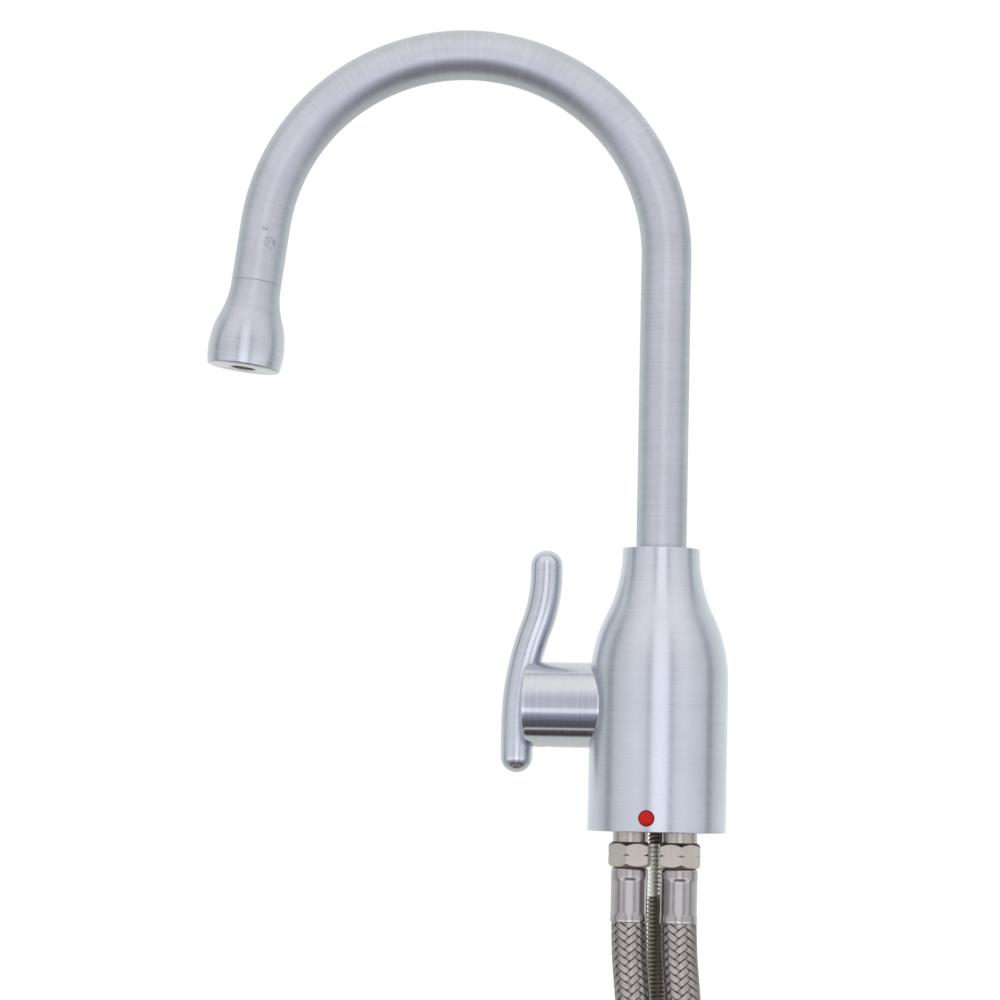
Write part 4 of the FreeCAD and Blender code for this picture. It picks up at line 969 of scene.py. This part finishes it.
class TAP_OT_body(bpy.types.Operator):
    """Turns the bottle-shaped body and cuts its pocket, ports and holes"""
    bl_idname = "tap.body"
    bl_label = "Body"

    AROUND = 192
    ROW = 0.9 * MM
    # how far a cutter passes the outside, the room round the button, and the depths of the blind holes
    OVERCUT, BUTTON_GAP = 4 * MM, 0.06 * MM
    TAIL_HOLE, STUD_HOLE = 11 * MM, 13 * MM

    def execute(self, context):
        body, spout = context.scene.tap_body, context.scene.tap_spout
        button, hose, stud = context.scene.tap_button, context.scene.tap_hoses, context.scene.tap_stud
        neck_top = body.height - body.neck_land
        bend = s_bend_radius(body.base_radius - body.neck_radius, neck_top - body.shoulder_start)
        lean = math.degrees(math.asin((neck_top - body.shoulder_start) / 2 / bend))
        low = (body.base_radius - bend, body.shoulder_start)
        high = (body.neck_radius + bend, neck_top)
        steps = round(math.radians(lean) * bend / self.ROW)
        edge = body.edge
        half_groove = body.groove_width / 2
        profile = [
            (0, body.recess_depth),
            (body.recess_radius, body.recess_depth),
            (body.recess_radius, 0),
            (body.groove_radius - half_groove, 0),
            (body.groove_radius - half_groove, body.groove_depth),
            (body.groove_radius + half_groove, body.groove_depth),
            (body.groove_radius + half_groove, 0),
            *arc((body.base_radius - edge, edge), edge, -90, 0, 4)[:-1],
            *run((body.base_radius, edge), (body.base_radius, body.shoulder_start), self.ROW),
            *arc(low, bend, 0, lean, steps)[:-1],
            *arc(high, bend, 180 + lean, 180, steps),
            *arc((body.neck_radius - edge, body.height - edge), edge, 0, 90, 4),
            (body.bearing_radius, body.height),
            (body.bearing_radius, body.bearing_floor),
            (body.socket_radius, body.bearing_floor),
            (body.socket_radius, body.socket_floor),
            (0, body.socket_floor),
        ]
        piece = turned("tap_body_piece", profile, count=self.AROUND)

        clear = body.base_radius + self.OVERCUT
        valve = [
            (0, body.valve_floor),
            (body.valve_bore, body.valve_floor),
            (body.valve_bore, body.pocket_floor),
            *run((body.pocket_radius, body.pocket_floor), (body.pocket_radius, clear), self.ROW),
            (body.pocket_radius, clear),
            (0, clear),
        ]
        outwards = placed(UP * body.valve_height, -QUARTER, "Y")
        forwards = placed(UP * button.height, QUARTER, "X")
        backwards = placed(UP * body.screw_height, -QUARTER, "X")
        seat = body.base_radius - button.seat
        cutters = [
            turned("pocket", valve, outwards, 160),
            plug("button_seat", button.radius + self.BUTTON_GAP, seat, clear, forwards, 64),
            plug("screw_hole", body.screw_hole, spout.radius, clear, backwards),
        ]
        ceiling = body.recess_depth
        holes = [(0, stud.back, stud.root, self.STUD_HOLE)]
        for name, side in SIDES:
            holes.append((side * hose.spread, -hose.front, hose.thread_radius, self.TAIL_HOLE))
        for across, back, radius, depth in holes:
            place = Matrix.Translation((across, back, 0))
            cutters.append(plug("port", radius, ceiling - MM, ceiling + depth, place))
        carve(piece, cutters)
        smooth(piece, 32)
        settle(piece, "body", "brushed_nickel")
        return {"FINISHED"}


class TAP_OT_button(bpy.types.Operator):
    """Turns the domed red indicator"""
    bl_idname = "tap.button"
    bl_label = "Hot indicator"

    # painted shade on the button's first rings, from its back over its rim, for the shadow in the gap round
    # it: how dark each ring is
    PAINTED_RIM_SHADE = (1.0, 1.0, 1.0, 0.9, 0.85, 0.5, 0.15)
    # the bevel of its edge, and the share of the dome that is left inside its rim
    SOFT_EDGE, DOME_SHARE = 0.15 * MM, 0.97

    def execute(self, context):
        body, button = context.scene.tap_body, context.scene.tap_button
        seat = body.base_radius - button.seat
        dome = (button.radius ** 2 + button.crown ** 2) / (2 * button.crown)
        half = math.degrees(math.asin(button.radius / dome))
        top = button.rim + button.crown - dome
        soft = self.SOFT_EDGE
        profile = [
            (0, 0),
            (button.radius - soft, 0),
            (button.radius, soft),
            (button.radius, button.rim - soft),
            *arc((0, top), dome, 90 - half * self.DOME_SHARE, 90, 12)[:-1],
            (0, button.rim + button.crown),
        ]
        place = placed(UP * button.height, QUARTER, "X") @ Matrix.Translation(UP * seat)
        rings = round_rings(profile, place, 64)
        piece = skin("hot_indicator_piece", rings, travelled(profile))
        # painted shade round the button's edge
        mark_rings(piece, "rim", rings, self.PAINTED_RIM_SHADE + (0.0,) * len(rings))
        smooth(piece, 45)
        settle(piece, "body", "red_lens")
        return {"FINISHED"}


class TAP_OT_spout(bpy.types.Operator):
    """Makes the swan neck and its bell-shaped nozzle"""
    bl_idname = "tap.spout"
    bl_label = "Spout"

    AROUND = 96
    # the step between the tube's rings on its straight runs; one ring in so many is used for its bore
    ROW, BORE_ROWS = 2 * MM, 6
    # the outlet's rounding, the spigot's room in the tube, and the angle where the lip's rounding starts
    OUTLET_EDGE, SPIGOT_GAP, LIP_START = 0.3 * MM, 0.02 * MM, 8
    # where the nozzle starts to be polished, in shares of its length, over how much, and how polished it gets
    POLISH_START, POLISH_RUN, POLISH = 0.3, 0.4, 0.42

    def execute(self, context):
        spout = context.scene.tap_spout
        ahead = Vector((-math.cos(spout.park_turn), -math.sin(spout.park_turn), 0))
        side = UP.cross(ahead)

        def at(out, height):
            return ahead * out + UP * height

        foot, start = (0, spout.foot), (0, spout.bend_height)
        steps = round(math.degrees(spout.bend_turn))
        bend = arc((spout.bend_radius, spout.bend_height), spout.bend_radius, 180,
                   180 - math.degrees(spout.bend_turn), steps)
        run_way = (math.sin(spout.bend_turn), math.cos(spout.bend_turn))
        end = tuple(spot + way * spout.outlet_run for spot, way in zip(bend[-1], run_way))
        seam = tuple(spot - way * spout.seam for spot, way in zip(end, run_way))
        line = run(foot, start, self.ROW) + bend[:-1] + run(bend[-1], seam, self.ROW) + [seam]
        outer = rod_rings([at(*spot) for spot in line], side, spout.radius, self.AROUND)
        lip = rod_rings([at(*seam), at(*end)], side, spout.radius - spout.seam, self.AROUND)[1]
        bore_line = [at(*spot) for spot in [*line[::self.BORE_ROWS], end]]
        bore = rod_rings(bore_line, side, spout.radius - spout.wall, self.AROUND)
        along = travelled(line)
        tube = skin(
            "spout_tube_piece", outer + [lip] + bore[::-1],
            [*along, along[-1] + spout.seam, along[-1], *along[::self.BORE_ROWS][::-1]], loop=True,
        )
        smooth(tube, 40)
        settle(tube, "spout", "brushed_nickel", "drawn_nickel")

        bell = s_bend_radius(spout.nozzle_radius - spout.radius, spout.bell_widest - spout.bell_start)
        lean = math.degrees(math.asin((spout.bell_widest - spout.bell_start) / 2 / bell))
        lip_start = spout.nozzle_length - spout.lip
        past = math.degrees(math.asin((lip_start - spout.bell_widest) / bell))
        hollow = (spout.radius + bell, spout.bell_start)
        crown = (spout.nozzle_radius - bell, spout.bell_widest)
        lip_radius = crown[0] + bell * math.cos(math.radians(past))
        edge = self.OUTLET_EDGE
        chamber_end = spout.nozzle_length - spout.floor
        spigot = spout.radius - spout.wall - self.SPIGOT_GAP
        profile = [
            (spigot, 0),
            (spout.radius - spout.seam, 0),
            (spout.radius, spout.seam),
            *arc(hollow, bell, 180, 180 - lean, 24)[:-1],
            *arc(crown, bell, -lean, past, 36),
            *arc((lip_radius - spout.lip, lip_start), spout.lip, self.LIP_START, 90, 6),
            *arc((spout.outlet_radius + edge, spout.nozzle_length - edge), edge, 90, 180, 3),
            (spout.outlet_radius, chamber_end),
            (spout.chamber_radius, chamber_end),
            (spout.chamber_radius, -spout.spigot_length),
            (spigot, -spout.spigot_length),
            (spigot, 0),
        ]
        way = at(*run_way)
        place = Matrix((side, way.cross(side), way)).transposed().to_4x4()
        place.translation = at(*end)
        rings = round_rings(profile, place, self.AROUND)
        nozzle = skin("spout_nozzle_piece", rings, travelled(profile))
        # the outlet's inside is marked hollow: bare brass with painted shade
        inside = profile.index((spout.outlet_radius, chamber_end)) - 1
        mark_rings(nozzle, "hollow", rings, [float(row >= inside) for row in range(len(rings))])
        past = [height / spout.nozzle_length - self.POLISH_START for radius, height in profile]
        polish = [self.POLISH * portion(share / self.POLISH_RUN) for share in past]
        mark_rings(nozzle, "polish", rings, polish)
        smooth(nozzle, 40)
        settle(nozzle, "spout", "brushed_nickel", "drawn_nickel")
        return {"FINISHED"}


class TAP_OT_lever(bpy.types.Operator):
    """Makes the lever: a turned hub and an S-shaped rod with round ends, joined"""
    bl_idname = "tap.lever"
    bl_label = "Lever"

    # heights between which the rod is dull, the fade to its polished ends, and how polished it is in each
    DULL_LOW, DULL_HIGH, DULL_FADE = 30 * MM, 46 * MM, 10 * MM
    ROD_DULL, ROD_POLISH = -0.3, 0.75
    # where the hub starts to lose polish above its axis, over what height, and how much it loses
    HUB_FADE_START, HUB_FADE, HUB_LOSS = 2 * MM, 9 * MM, 0.5
    # rounding of the hub's outer and inner ends, steps in a dome of the rod and points round it
    EDGE, INNER_EDGE = 0.6 * MM, 0.3 * MM
    DOME_STEPS, ROD_AROUND = 12, 64
    # how near the hub's skin a point counts as on it, and how far a cutter passes the outside
    NEAR, OVERCUT = 0.01 * MM, 2 * MM

    def mark_polish(self, lever, body, piece):
        """The hub is polished, less at its top, and brushed round its own axis. The rod is brushed across."""
        brush, polish = [], []
        for vertex in piece.data.vertices:
            x, y, z = vertex.co
            from_axis = math.hypot(y, z - body.valve_height)
            on_hub = x > -lever.hub_end - self.NEAR and from_axis < lever.hub_radius + self.NEAR
            upper = portion((z - body.valve_height - self.HUB_FADE_START) / self.HUB_FADE)
            past = portion(max(self.DULL_LOW - z, z - self.DULL_HIGH) / self.DULL_FADE)
            on_rod = self.ROD_DULL + past * (self.ROD_POLISH - self.ROD_DULL)
            brush.append(-x if on_hub else z)
            polish.append(1 - upper * self.HUB_LOSS if on_hub else on_rod)
        mark(piece, "brush", brush)
        mark(piece, "polish", polish)

    def execute(self, context):
        lever, body = context.scene.tap_lever, context.scene.tap_body
        cavity = lever.hub_radius - lever.hub_wall
        edge, inner_edge = self.EDGE, self.INNER_EDGE
        side_start, side_end = lever.hub_start + inner_edge, lever.hub_end - edge
        profile = [
            (0, lever.bore_end),
            (lever.bore, lever.bore_end),
            (lever.bore, lever.cavity_end),
            (cavity, lever.cavity_end),
            (cavity, lever.hub_start),
            *arc((lever.hub_radius - inner_edge, side_start), inner_edge, -90, 0, 4),
            *run((lever.hub_radius, side_start), (lever.hub_radius, side_end), MM)[1:],
            *arc((lever.hub_radius - edge, side_end), edge, 0, 90, 5),
            (0, lever.hub_end),
        ]
        hub = turned("lever_handle_piece", profile, placed(UP * body.valve_height, -QUARTER, "Y"), 128)

        bends = lever.low_bend + lever.top_bend
        lean_cosine = 1 - (lever.low_out - lever.top_out) / bends
        lean = math.degrees(math.acos(lean_cosine))
        low_centre = (lever.low_out - lever.low_bend, lever.bend_start)
        top_start = lever.bend_start + bends * math.sin(math.radians(lean))
        top_centre = (lever.top_out + lever.top_bend, top_start)
        line = [
            *run((lever.low_out, lever.low_end), (lever.low_out, lever.bend_start), MM),
            *arc(low_centre, lever.low_bend, 0, lean, 32)[:-1],
            *arc(top_centre, lever.top_bend, 180 + lean, 180, 18)[:-1],
            *run((lever.top_out, top_start), (lever.top_out, lever.top_end), MM),
            (lever.top_out, lever.top_end),
        ]
        spots = [Vector((-out, 0, height)) for out, height in line]
        rings = rod_rings(spots, BACK, lever.rod_radius, self.ROD_AROUND)
        along = travelled(line)
        first_along, last_along = along[0], along[-1]
        for i in range(1, self.DOME_STEPS + 1):
            turn = QUARTER * i / self.DOME_STEPS
            reach = UP * (lever.rod_radius * math.sin(turn))
            narrow = lever.rod_radius * math.cos(turn)
            ends = [[spots[0] - reach], [spots[-1] + reach]]
            if i < self.DOME_STEPS:
                ends = [ring(*end, BACK, UP.cross(BACK), narrow, self.ROD_AROUND) for end in ends]
            rings = [ends[0], *rings, ends[1]]
            along = [first_along - lever.rod_radius * turn, *along, last_along + lever.rod_radius * turn]
        carve(hub, [skin("lever_rod", rings, along)], "UNION")
        downwards = placed((-lever.grub_out, 0, body.valve_height), math.pi, "X")
        clear = lever.hub_radius + self.OVERCUT
        carve(hub, [plug("grub_hole", lever.grub_hole, lever.bore, clear, downwards)])
        self.mark_polish(lever, body, hub)
        smooth(hub, 32)
        settle(hub, "lever", "satin_nickel")
        return {"FINISHED"}


class TAP_OT_fittings(bpy.types.Operator):
    """Makes the hose tails, crimped sleeves and union nuts"""
    bl_idname = "tap.fittings"
    bl_label = "Hose fittings"

    AROUND = 144
    # rounding under a tail's collar, and the height and width of the step that its seal sits on
    COLLAR_EDGE, SEAL_HEIGHT, SEAL_STEP = 0.25 * MM, 1.3 * MM, 0.9 * MM
    # a sleeve's room round the hose, the length over which its flats fade, its lip, the curve above the lip,
    # the step between its rings, the points on each flat, and how far and softly the flats bulge
    HOSE_GAP, EASE, LIP, BROW, STEP = 0.02 * MM, 1.7 * MM, 0.1 * MM, 0.8 * MM, 0.2 * MM
    ON_FLAT, BULGE, SOFTNESS = 20, 0.45, 0.1 * MM
    # a nut's place below its sleeve, the heights of its parts and their radii, and its thread
    NUT_DROP, WALL, RELIEF, MOUTH = 3.2 * MM, 3.6 * MM, 4.2 * MM, 8.0 * MM
    BACK_HOLE, RELIEF_RADIUS, MOUTH_RADIUS = 4.95 * MM, 7.9 * MM, 7.62 * MM
    THREAD_OUTER, THREAD_INNER, PITCH = 7.61 * MM, 7.0 * MM, 1.4 * MM
    THREAD_LOW_GAP, THREAD_HIGH_GAP = 0.3 * MM, 0.2 * MM

    def tail(self, hose, body, name, side, turn):
        top, bottom = -hose.collar_drop, under_hexagon(hose)
        centre = Vector((side * hose.spread, -hose.front, 0))
        hexagon = hexagon_rings(
            centre, hose.hex_flats, bottom, top, hose.hex_chamfer, hose.hex_bevel, turn, hose.hex_nick,
            self.AROUND,
        )
        ceiling = body.recess_depth
        end = bottom - hose.sleeve_length + hose.sleeve_round
        seal = ceiling - self.SEAL_HEIGHT
        step_radius = hose.collar_radius - self.SEAL_STEP
        below = [(hose.tail_bore, end), (hose.nipple_radius, end), (hose.nipple_radius, bottom)]
        above = [
            (hose.collar_radius + self.COLLAR_EDGE, top),
            (hose.collar_radius, top + self.COLLAR_EDGE),
            (hose.collar_radius, seal),
            (step_radius, seal),
            (step_radius, ceiling),
            (hose.thread_radius, ceiling),
            (hose.thread_radius, ceiling + hose.thread_length),
            (hose.tail_bore, ceiling + hose.thread_length),
        ]
        place = Matrix.Translation(centre)
        rings = round_rings(below, place, self.AROUND) + hexagon + round_rings(above, place, self.AROUND)
        piece = skin(f"{name}_hose_tail_piece", rings, [one[0].z for one in rings], loop=True)
        plain = len(below) + len(hexagon)
        # the collar and the thread above the hexagon are marked as polished: glossier, and darker as painted
        # shade
        mark_rings(piece, "polish", rings, [float(row >= plain) for row in range(len(rings))])
        smooth(piece, 25)
        settle(piece, "body", "plated_brass")

    def sleeve(self, hose, node, place):
        """A sleeve that hangs from its closed end, with six crimped flats and a belled mouth."""
        radius, whole, lip = hose.sleeve_radius, hose.sleeve_length, self.LIP
        bell = radius + hose.sleeve_bell
        inside = hose.radius + self.HOSE_GAP
        brow = lip + self.BROW - whole
        profile = [
            (inside, -SLEEVE_CAP),
            (hose.nipple_radius, -SLEEVE_CAP),
            (hose.nipple_radius, 0),
            *arc((radius - hose.sleeve_round, -hose.sleeve_round), hose.sleeve_round, 90, 0, 8)[:-1],
            *run((radius, -hose.sleeve_round), (radius, -hose.crimp_end), self.STEP),
            *run((radius, -hose.crimp_end), (bell, brow), self.STEP),
            *run((bell, brow), (bell - lip, lip - whole), self.STEP),
            (bell - lip, lip - whole),
            (bell - 2 * lip, -whole),
            (inside, -whole),
        ][::-1]
        count = self.ON_FLAT * 6
        rings = []
        for size, height in profile:
            into = min(-height - hose.crimp_start, hose.crimp_end + height) / self.EASE
            pressed = eased(portion(into)) if size > inside else 0.0
            points = []
            for j in range(count):
                way = 2 * math.pi * j / count
                past = (way + math.pi / 6) % (math.pi / 3) - math.pi / 6
                spare = size - hose.crimp_flats / 2 / math.cos(past) ** self.BULGE
                here = size - pressed * (spare + math.hypot(spare, self.SOFTNESS)) / 2
                turn = way + hose.crimp_turn
                points.append(place @ Vector((here * math.cos(turn), here * math.sin(turn), height)))
            rings.append(points)
        piece = skin(f"{node}_piece", rings, [-height for size, height in profile], loop=True)
        smooth(piece, 40)
        settle(piece, "body", "polished_sleeve")

    def nut(self, hose, thread, name, end):
        """A union nut with a threaded mouth, a relief and a back wall."""
        top = end.z - SLEEVE_CAP - self.NUT_DROP
        wall_end = top - self.WALL
        relief_end = wall_end - self.RELIEF
        bottom = relief_end - self.MOUTH
        centre = Vector((end.x, end.y, 0))
        place = Matrix.Translation(centre)
        inside = [
            (self.BACK_HOLE, top), (self.BACK_HOLE, wall_end), (self.RELIEF_RADIUS, wall_end),
            (self.RELIEF_RADIUS, relief_end), (self.MOUTH_RADIUS, relief_end), (self.MOUTH_RADIUS, bottom),
        ]
        rings = hexagon_rings(
            centre, hose.nut_flats, bottom, top, hose.nut_chamfer, hose.hex_bevel, 0, 0, self.AROUND
        ) + round_rings(inside, place, self.AROUND)
        piece = skin(f"{name}_union_nut_piece", rings, [one[0].z for one in rings], loop=True)
        winding = grown(f"{name}_nut_thread", thread, {
            "Crest": self.THREAD_OUTER, "Root": self.THREAD_INNER, "Pitch": self.PITCH,
            "Low": bottom + self.THREAD_LOW_GAP, "High": relief_end - self.THREAD_HIGH_GAP,
            "Round": THREAD_ROUND, "Material": finish_for("plated_brass"),
        })
        winding.data.transform(place)
        winding.data.flip_normals()
        join(piece, [winding])
        smooth(piece, 25)
        settle(piece, f"{name}_union", "plated_brass")

    def execute(self, context):
        hose, body = context.scene.tap_hoses, context.scene.tap_body
        thread = bpy.data.node_groups["Screw Thread"]
        for name, side in SIDES:
            self.tail(hose, body, name, side, hose.left_turn if side < 0 else hose.right_turn)
            upper = Matrix.Translation((side * hose.spread, -hose.front, under_hexagon(hose)))
            self.sleeve(hose, f"{name}_ferrule", upper)
            x, z = (size * MM for size in HOSE_ROUTES[name][-1])
            end = Vector((x + side * hose.coil_step, -hose.front, z - hose.coil_tail))
            self.sleeve(hose, f"{name}_end_ferrule", placed(end - UP * SLEEVE_CAP, math.pi, "X"))
            self.nut(hose, thread, name, end)
        return {"FINISHED"}


class TAP_OT_stud(bpy.types.Operator):
    """Winds the thread of the mounting stud on its core"""
    bl_idname = "tap.stud"
    bl_label = "Threaded stud"

    # the core's room under the thread, its length in the body and the bevel of its lower end
    CORE_GAP, IN_BODY, CHAMFER = 0.03 * MM, 12.9 * MM, 0.8 * MM

    def execute(self, context):
        stud, body = context.scene.tap_stud, context.scene.tap_body
        thread = grown("mounting_stud_piece", thread_tree(), {
            "Crest": stud.radius, "Root": stud.root, "Pitch": stud.pitch, "Low": -stud.reach,
            "High": body.recess_depth, "Round": THREAD_ROUND, "Material": finish_for("plated_steel"),
        })
        inside = stud.root - self.CORE_GAP
        top = body.recess_depth + self.IN_BODY
        chamfer = self.CHAMFER
        core = turned("stud_core", [
            (0, -stud.reach), (inside - chamfer, -stud.reach), (inside, chamfer - stud.reach),
            (inside, top), (0, top),
        ], count=48)
        join(thread, [core])
        thread.data.transform(Matrix.Translation((0, stud.back, 0)))
        smooth(thread, 50)
        settle(thread, "body", "plated_steel")
        return {"FINISHED"}


class TAP_OT_inner_parts(bpy.types.Operator):
    """Gives every carried-over node the finish of its slot"""
    bl_idname = "tap.inner_parts"
    bl_label = "Inner parts"

    def execute(self, context):
        slots = {entry["node"]: entry["material_slot"] for entry in frame["record"]["subparts"]}
        for node, part in frame["nodes"].items():
            part.data.materials.clear()
            part.data.materials.append(finish_for(slots[node]))
        return {"FINISHED"}


class TAP_OT_stage(bpy.types.Operator):
    """Sets a pale floor, a soft lamp and a white studio round the tap"""
    bl_idname = "tap.stage"
    bl_label = "Stage"

    # the floor's radius and how far it lies below the tap, then the lamp's size, power, place and aim
    FLOOR_RADIUS, FLOOR_DROP = 0.9, 0.5 * MM
    LAMP_SIZE, LAMP_POWER = 0.9, 5.0
    LAMP_PLACE, LAMP_AIM = Vector((-0.5, -0.9, 1.1)), Vector((0, 0, 0.05))

    # brightness of the studio round the tap, by the angle from the front in degrees
    WALLS = (
        (0, (1.4, 1.4, 1.45)), (12, (1.4, 1.4, 1.45)), (17, (0.62, 0.63, 0.67)), (20, (0.58, 0.59, 0.63)),
        (25, (1.04, 1.05, 1.09)), (42, (1.08, 1.09, 1.12)), (62, (0.96, 0.97, 1.0)), (82, (0.84, 0.86, 0.88)),
        (90, (0.42, 0.45, 0.48)), (95, (0.42, 0.45, 0.48)), (106, (0.76, 0.81, 0.81)),
        (130, (0.9, 0.95, 0.94)), (180, (0.97, 1.0, 0.97)),
    )
    # the same, high above the tap
    CEILING = (
        (0, (1.18, 1.15, 1.11)), (60, (1.15, 1.13, 1.1)), (85, (1.0, 1.0, 1.0)), (90, (0.4, 0.42, 0.45)),
        (94, (0.4, 0.42, 0.45)), (101, (0.96, 1.0, 0.98)), (180, (1.0, 1.02, 1.0)),
    )
    # how much of it is left below the front, by the angle above the horizon in degrees
    FRONT_BELOW = (
        (-90, (0.12, 0.1, 0.085)), (-71, (0.1, 0.085, 0.075)), (-68.5, (0.85, 0.8, 0.75)),
        (-66, (0.85, 0.8, 0.75)), (-63.5, (0.11, 0.1, 0.1)), (-48, (0.15, 0.15, 0.17)),
        (-34, (0.34, 0.35, 0.4)), (-25, (0.62, 0.63, 0.7)), (-20, (1.4, 1.4, 1.42)), (-13, (1.4, 1.4, 1.42)),
        (-8, (0.92, 0.92, 0.93)), (12, (0.86, 0.86, 0.87)), (30, (1.0, 1.0, 1.0)), (90, (1.0, 1.0, 1.0)),
    )
    # the same behind the tap and below it, right overhead, and for light that isn't a reflection
    BACK_BELOW, ZENITH, DIFFUSE_LIGHT = (0.8, 0.8, 0.77), (1.03, 1.02, 1.0), (0.78, 0.78, 0.8)
    # where one light fades into another, by the angle above the horizon, with 0 at -90 degrees and 1 at 90
    CEILING_FADE, BACK_FADE, SIDE_FADE, ZENITH_FADE = (0.63, 0.78), (0.36, 0.48), (0.11, 0.22), (0.86, 0.92)
    # the same from the front to the sides, with 1 at 180 degrees, and by how far behind the tap a ray goes
    ROUND_FADE, BEHIND_FADE = (0.36, 0.5), (-0.21, -0.07)

    def floor(self, stage):
        low = CAD_BOX[0][2] - self.FLOOR_DROP
        floor = turned("floor", [(self.FLOOR_RADIUS, low), (0, low)])
        floor.data.materials.append(Finish("floor", stage.floor_colour, 0.0, 0.9).material)
        floor.visible_glossy = False

    def lamp(self):
        lamp = new_object("soft_lamp", bpy.data.lights.new("soft_lamp", "AREA"))
        lamp.data.shape = "DISK"
        lamp.data.size = self.LAMP_SIZE
        lamp.data.energy = self.LAMP_POWER
        lamp.location = self.LAMP_PLACE
        lamp.rotation_mode = "QUATERNION"
        lamp.rotation_quaternion = (self.LAMP_AIM - self.LAMP_PLACE).to_track_quat("-Z", "Y")
        lamp.visible_glossy = False

    def studio(self, scene, stage):
        world = bpy.data.worlds.new("studio")
        scene.world = world
        world.use_nodes = True
        tree = world.node_tree
        tree.nodes.clear()
        x, y, height = parts_of(tree, add_node(tree, "ShaderNodeTexCoord").outputs["Generated"])
        level = (x * x + y * y).math("SQRT").math("MAXIMUM", 0.0001)
        ahead = x * math.sin(stage.azimuth) + y * -math.cos(stage.azimuth)
        aside = (ahead / level).clamped(-1.0, 1.0).math("ARCCOSINE") / math.pi
        above = height.clamped(-1.0, 1.0).math("ARCSINE") / math.pi + 0.5

        def bands(field, stops, lowest):
            """Soft bands over half a turn from the lowest angle."""
            return ramp(tree, field, [((degrees - lowest) / 180, value) for degrees, value in stops], "EASE")

        high = above.ranged(*self.CEILING_FADE, 0, 1)
        walls = mixed(tree, bands(aside, self.WALLS, 0), bands(aside, self.CEILING, 0), high)
        back = mixed(tree, self.BACK_BELOW, WHITE, above.ranged(*self.BACK_FADE, 0, 1))
        beside = aside.ranged(*self.ROUND_FADE, 0, 1) * above.ranged(*self.SIDE_FADE, 0, 1)
        behind = ahead.ranged(*self.BEHIND_FADE, 1, 0)
        below = mixed(tree, bands(above, self.FRONT_BELOW, -90), back, beside.math("MAXIMUM", behind))
        seen = mixed(tree, walls, below, 1.0, "MULTIPLY")
        seen = mixed(tree, seen, self.ZENITH, above.ranged(*self.ZENITH_FADE, 0, 1))
        path = add_node(tree, "ShaderNodeLightPath").outputs
        through = Field(tree, path["Is Camera Ray"]).math("MAXIMUM", path["Is Transmission Ray"])
        lit = mixed(tree, self.DIFFUSE_LIGHT, seen, path["Is Glossy Ray"])
        background = add_node(tree, "ShaderNodeBackground", {"Color": mixed(tree, lit, WHITE, through)})
        add_node(tree, "ShaderNodeOutputWorld", {"Surface": background.outputs[0]})

    def execute(self, context):
        stage = context.scene.tap_stage
        self.floor(stage)
        self.lamp()
        self.studio(context.scene, stage)
        context.scene.view_settings.view_transform = "Standard"
        return {"FINISHED"}


class TAP_PT_panel(bpy.types.Panel):
    """Lists the tap's operators"""
    bl_label = "Instant hot water tap"
    bl_idname = "TAP_PT_panel"
    bl_space_type = "VIEW_3D"
    bl_region_type = "UI"
    bl_category = "Tap"

    def draw(self, context):
        for operator in OPERATORS:
            self.layout.operator(operator.bl_idname)


GROUPS = {
    "tap_body": BodySizes,
    "tap_button": IndicatorSizes,
    "tap_spout": SpoutSizes,
    "tap_lever": LeverSizes,
    "tap_hoses": HoseSizes,
    "tap_stud": StudSizes,
    "tap_finishes": Finishes,
    "tap_stage": StageSettings,
}
OPERATORS = (
    TAP_OT_camera, TAP_OT_inner_parts, TAP_OT_stud, TAP_OT_fittings, TAP_OT_hoses, TAP_OT_body,
    TAP_OT_button, TAP_OT_spout, TAP_OT_lever, TAP_OT_stage,
)


def register():
    for name, group in GROUPS.items():
        bpy.utils.register_class(group)
        setattr(bpy.types.Scene, name, PointerProperty(type=group))
    for one in (*OPERATORS, TAP_PT_panel):
        bpy.utils.register_class(one)


def unregister():
    for one in (TAP_PT_panel, *OPERATORS[::-1]):
        bpy.utils.unregister_class(one)
    for name, group in GROUPS.items():
        delattr(bpy.types.Scene, name)
        bpy.utils.unregister_class(group)


def main():
    register()
    make_finishes(bpy.context.scene.tap_finishes)
    bpy.ops.tap.camera()
    bpy.ops.tap.inner_parts()
    bpy.ops.tap.stud()
    bpy.ops.tap.fittings()
    bpy.ops.tap.hoses()
    bpy.ops.tap.body()
    bpy.ops.tap.button()
    bpy.ops.tap.spout()
    bpy.ops.tap.lever()
    bpy.ops.tap.stage()


if __name__ == "__main__":
    main()
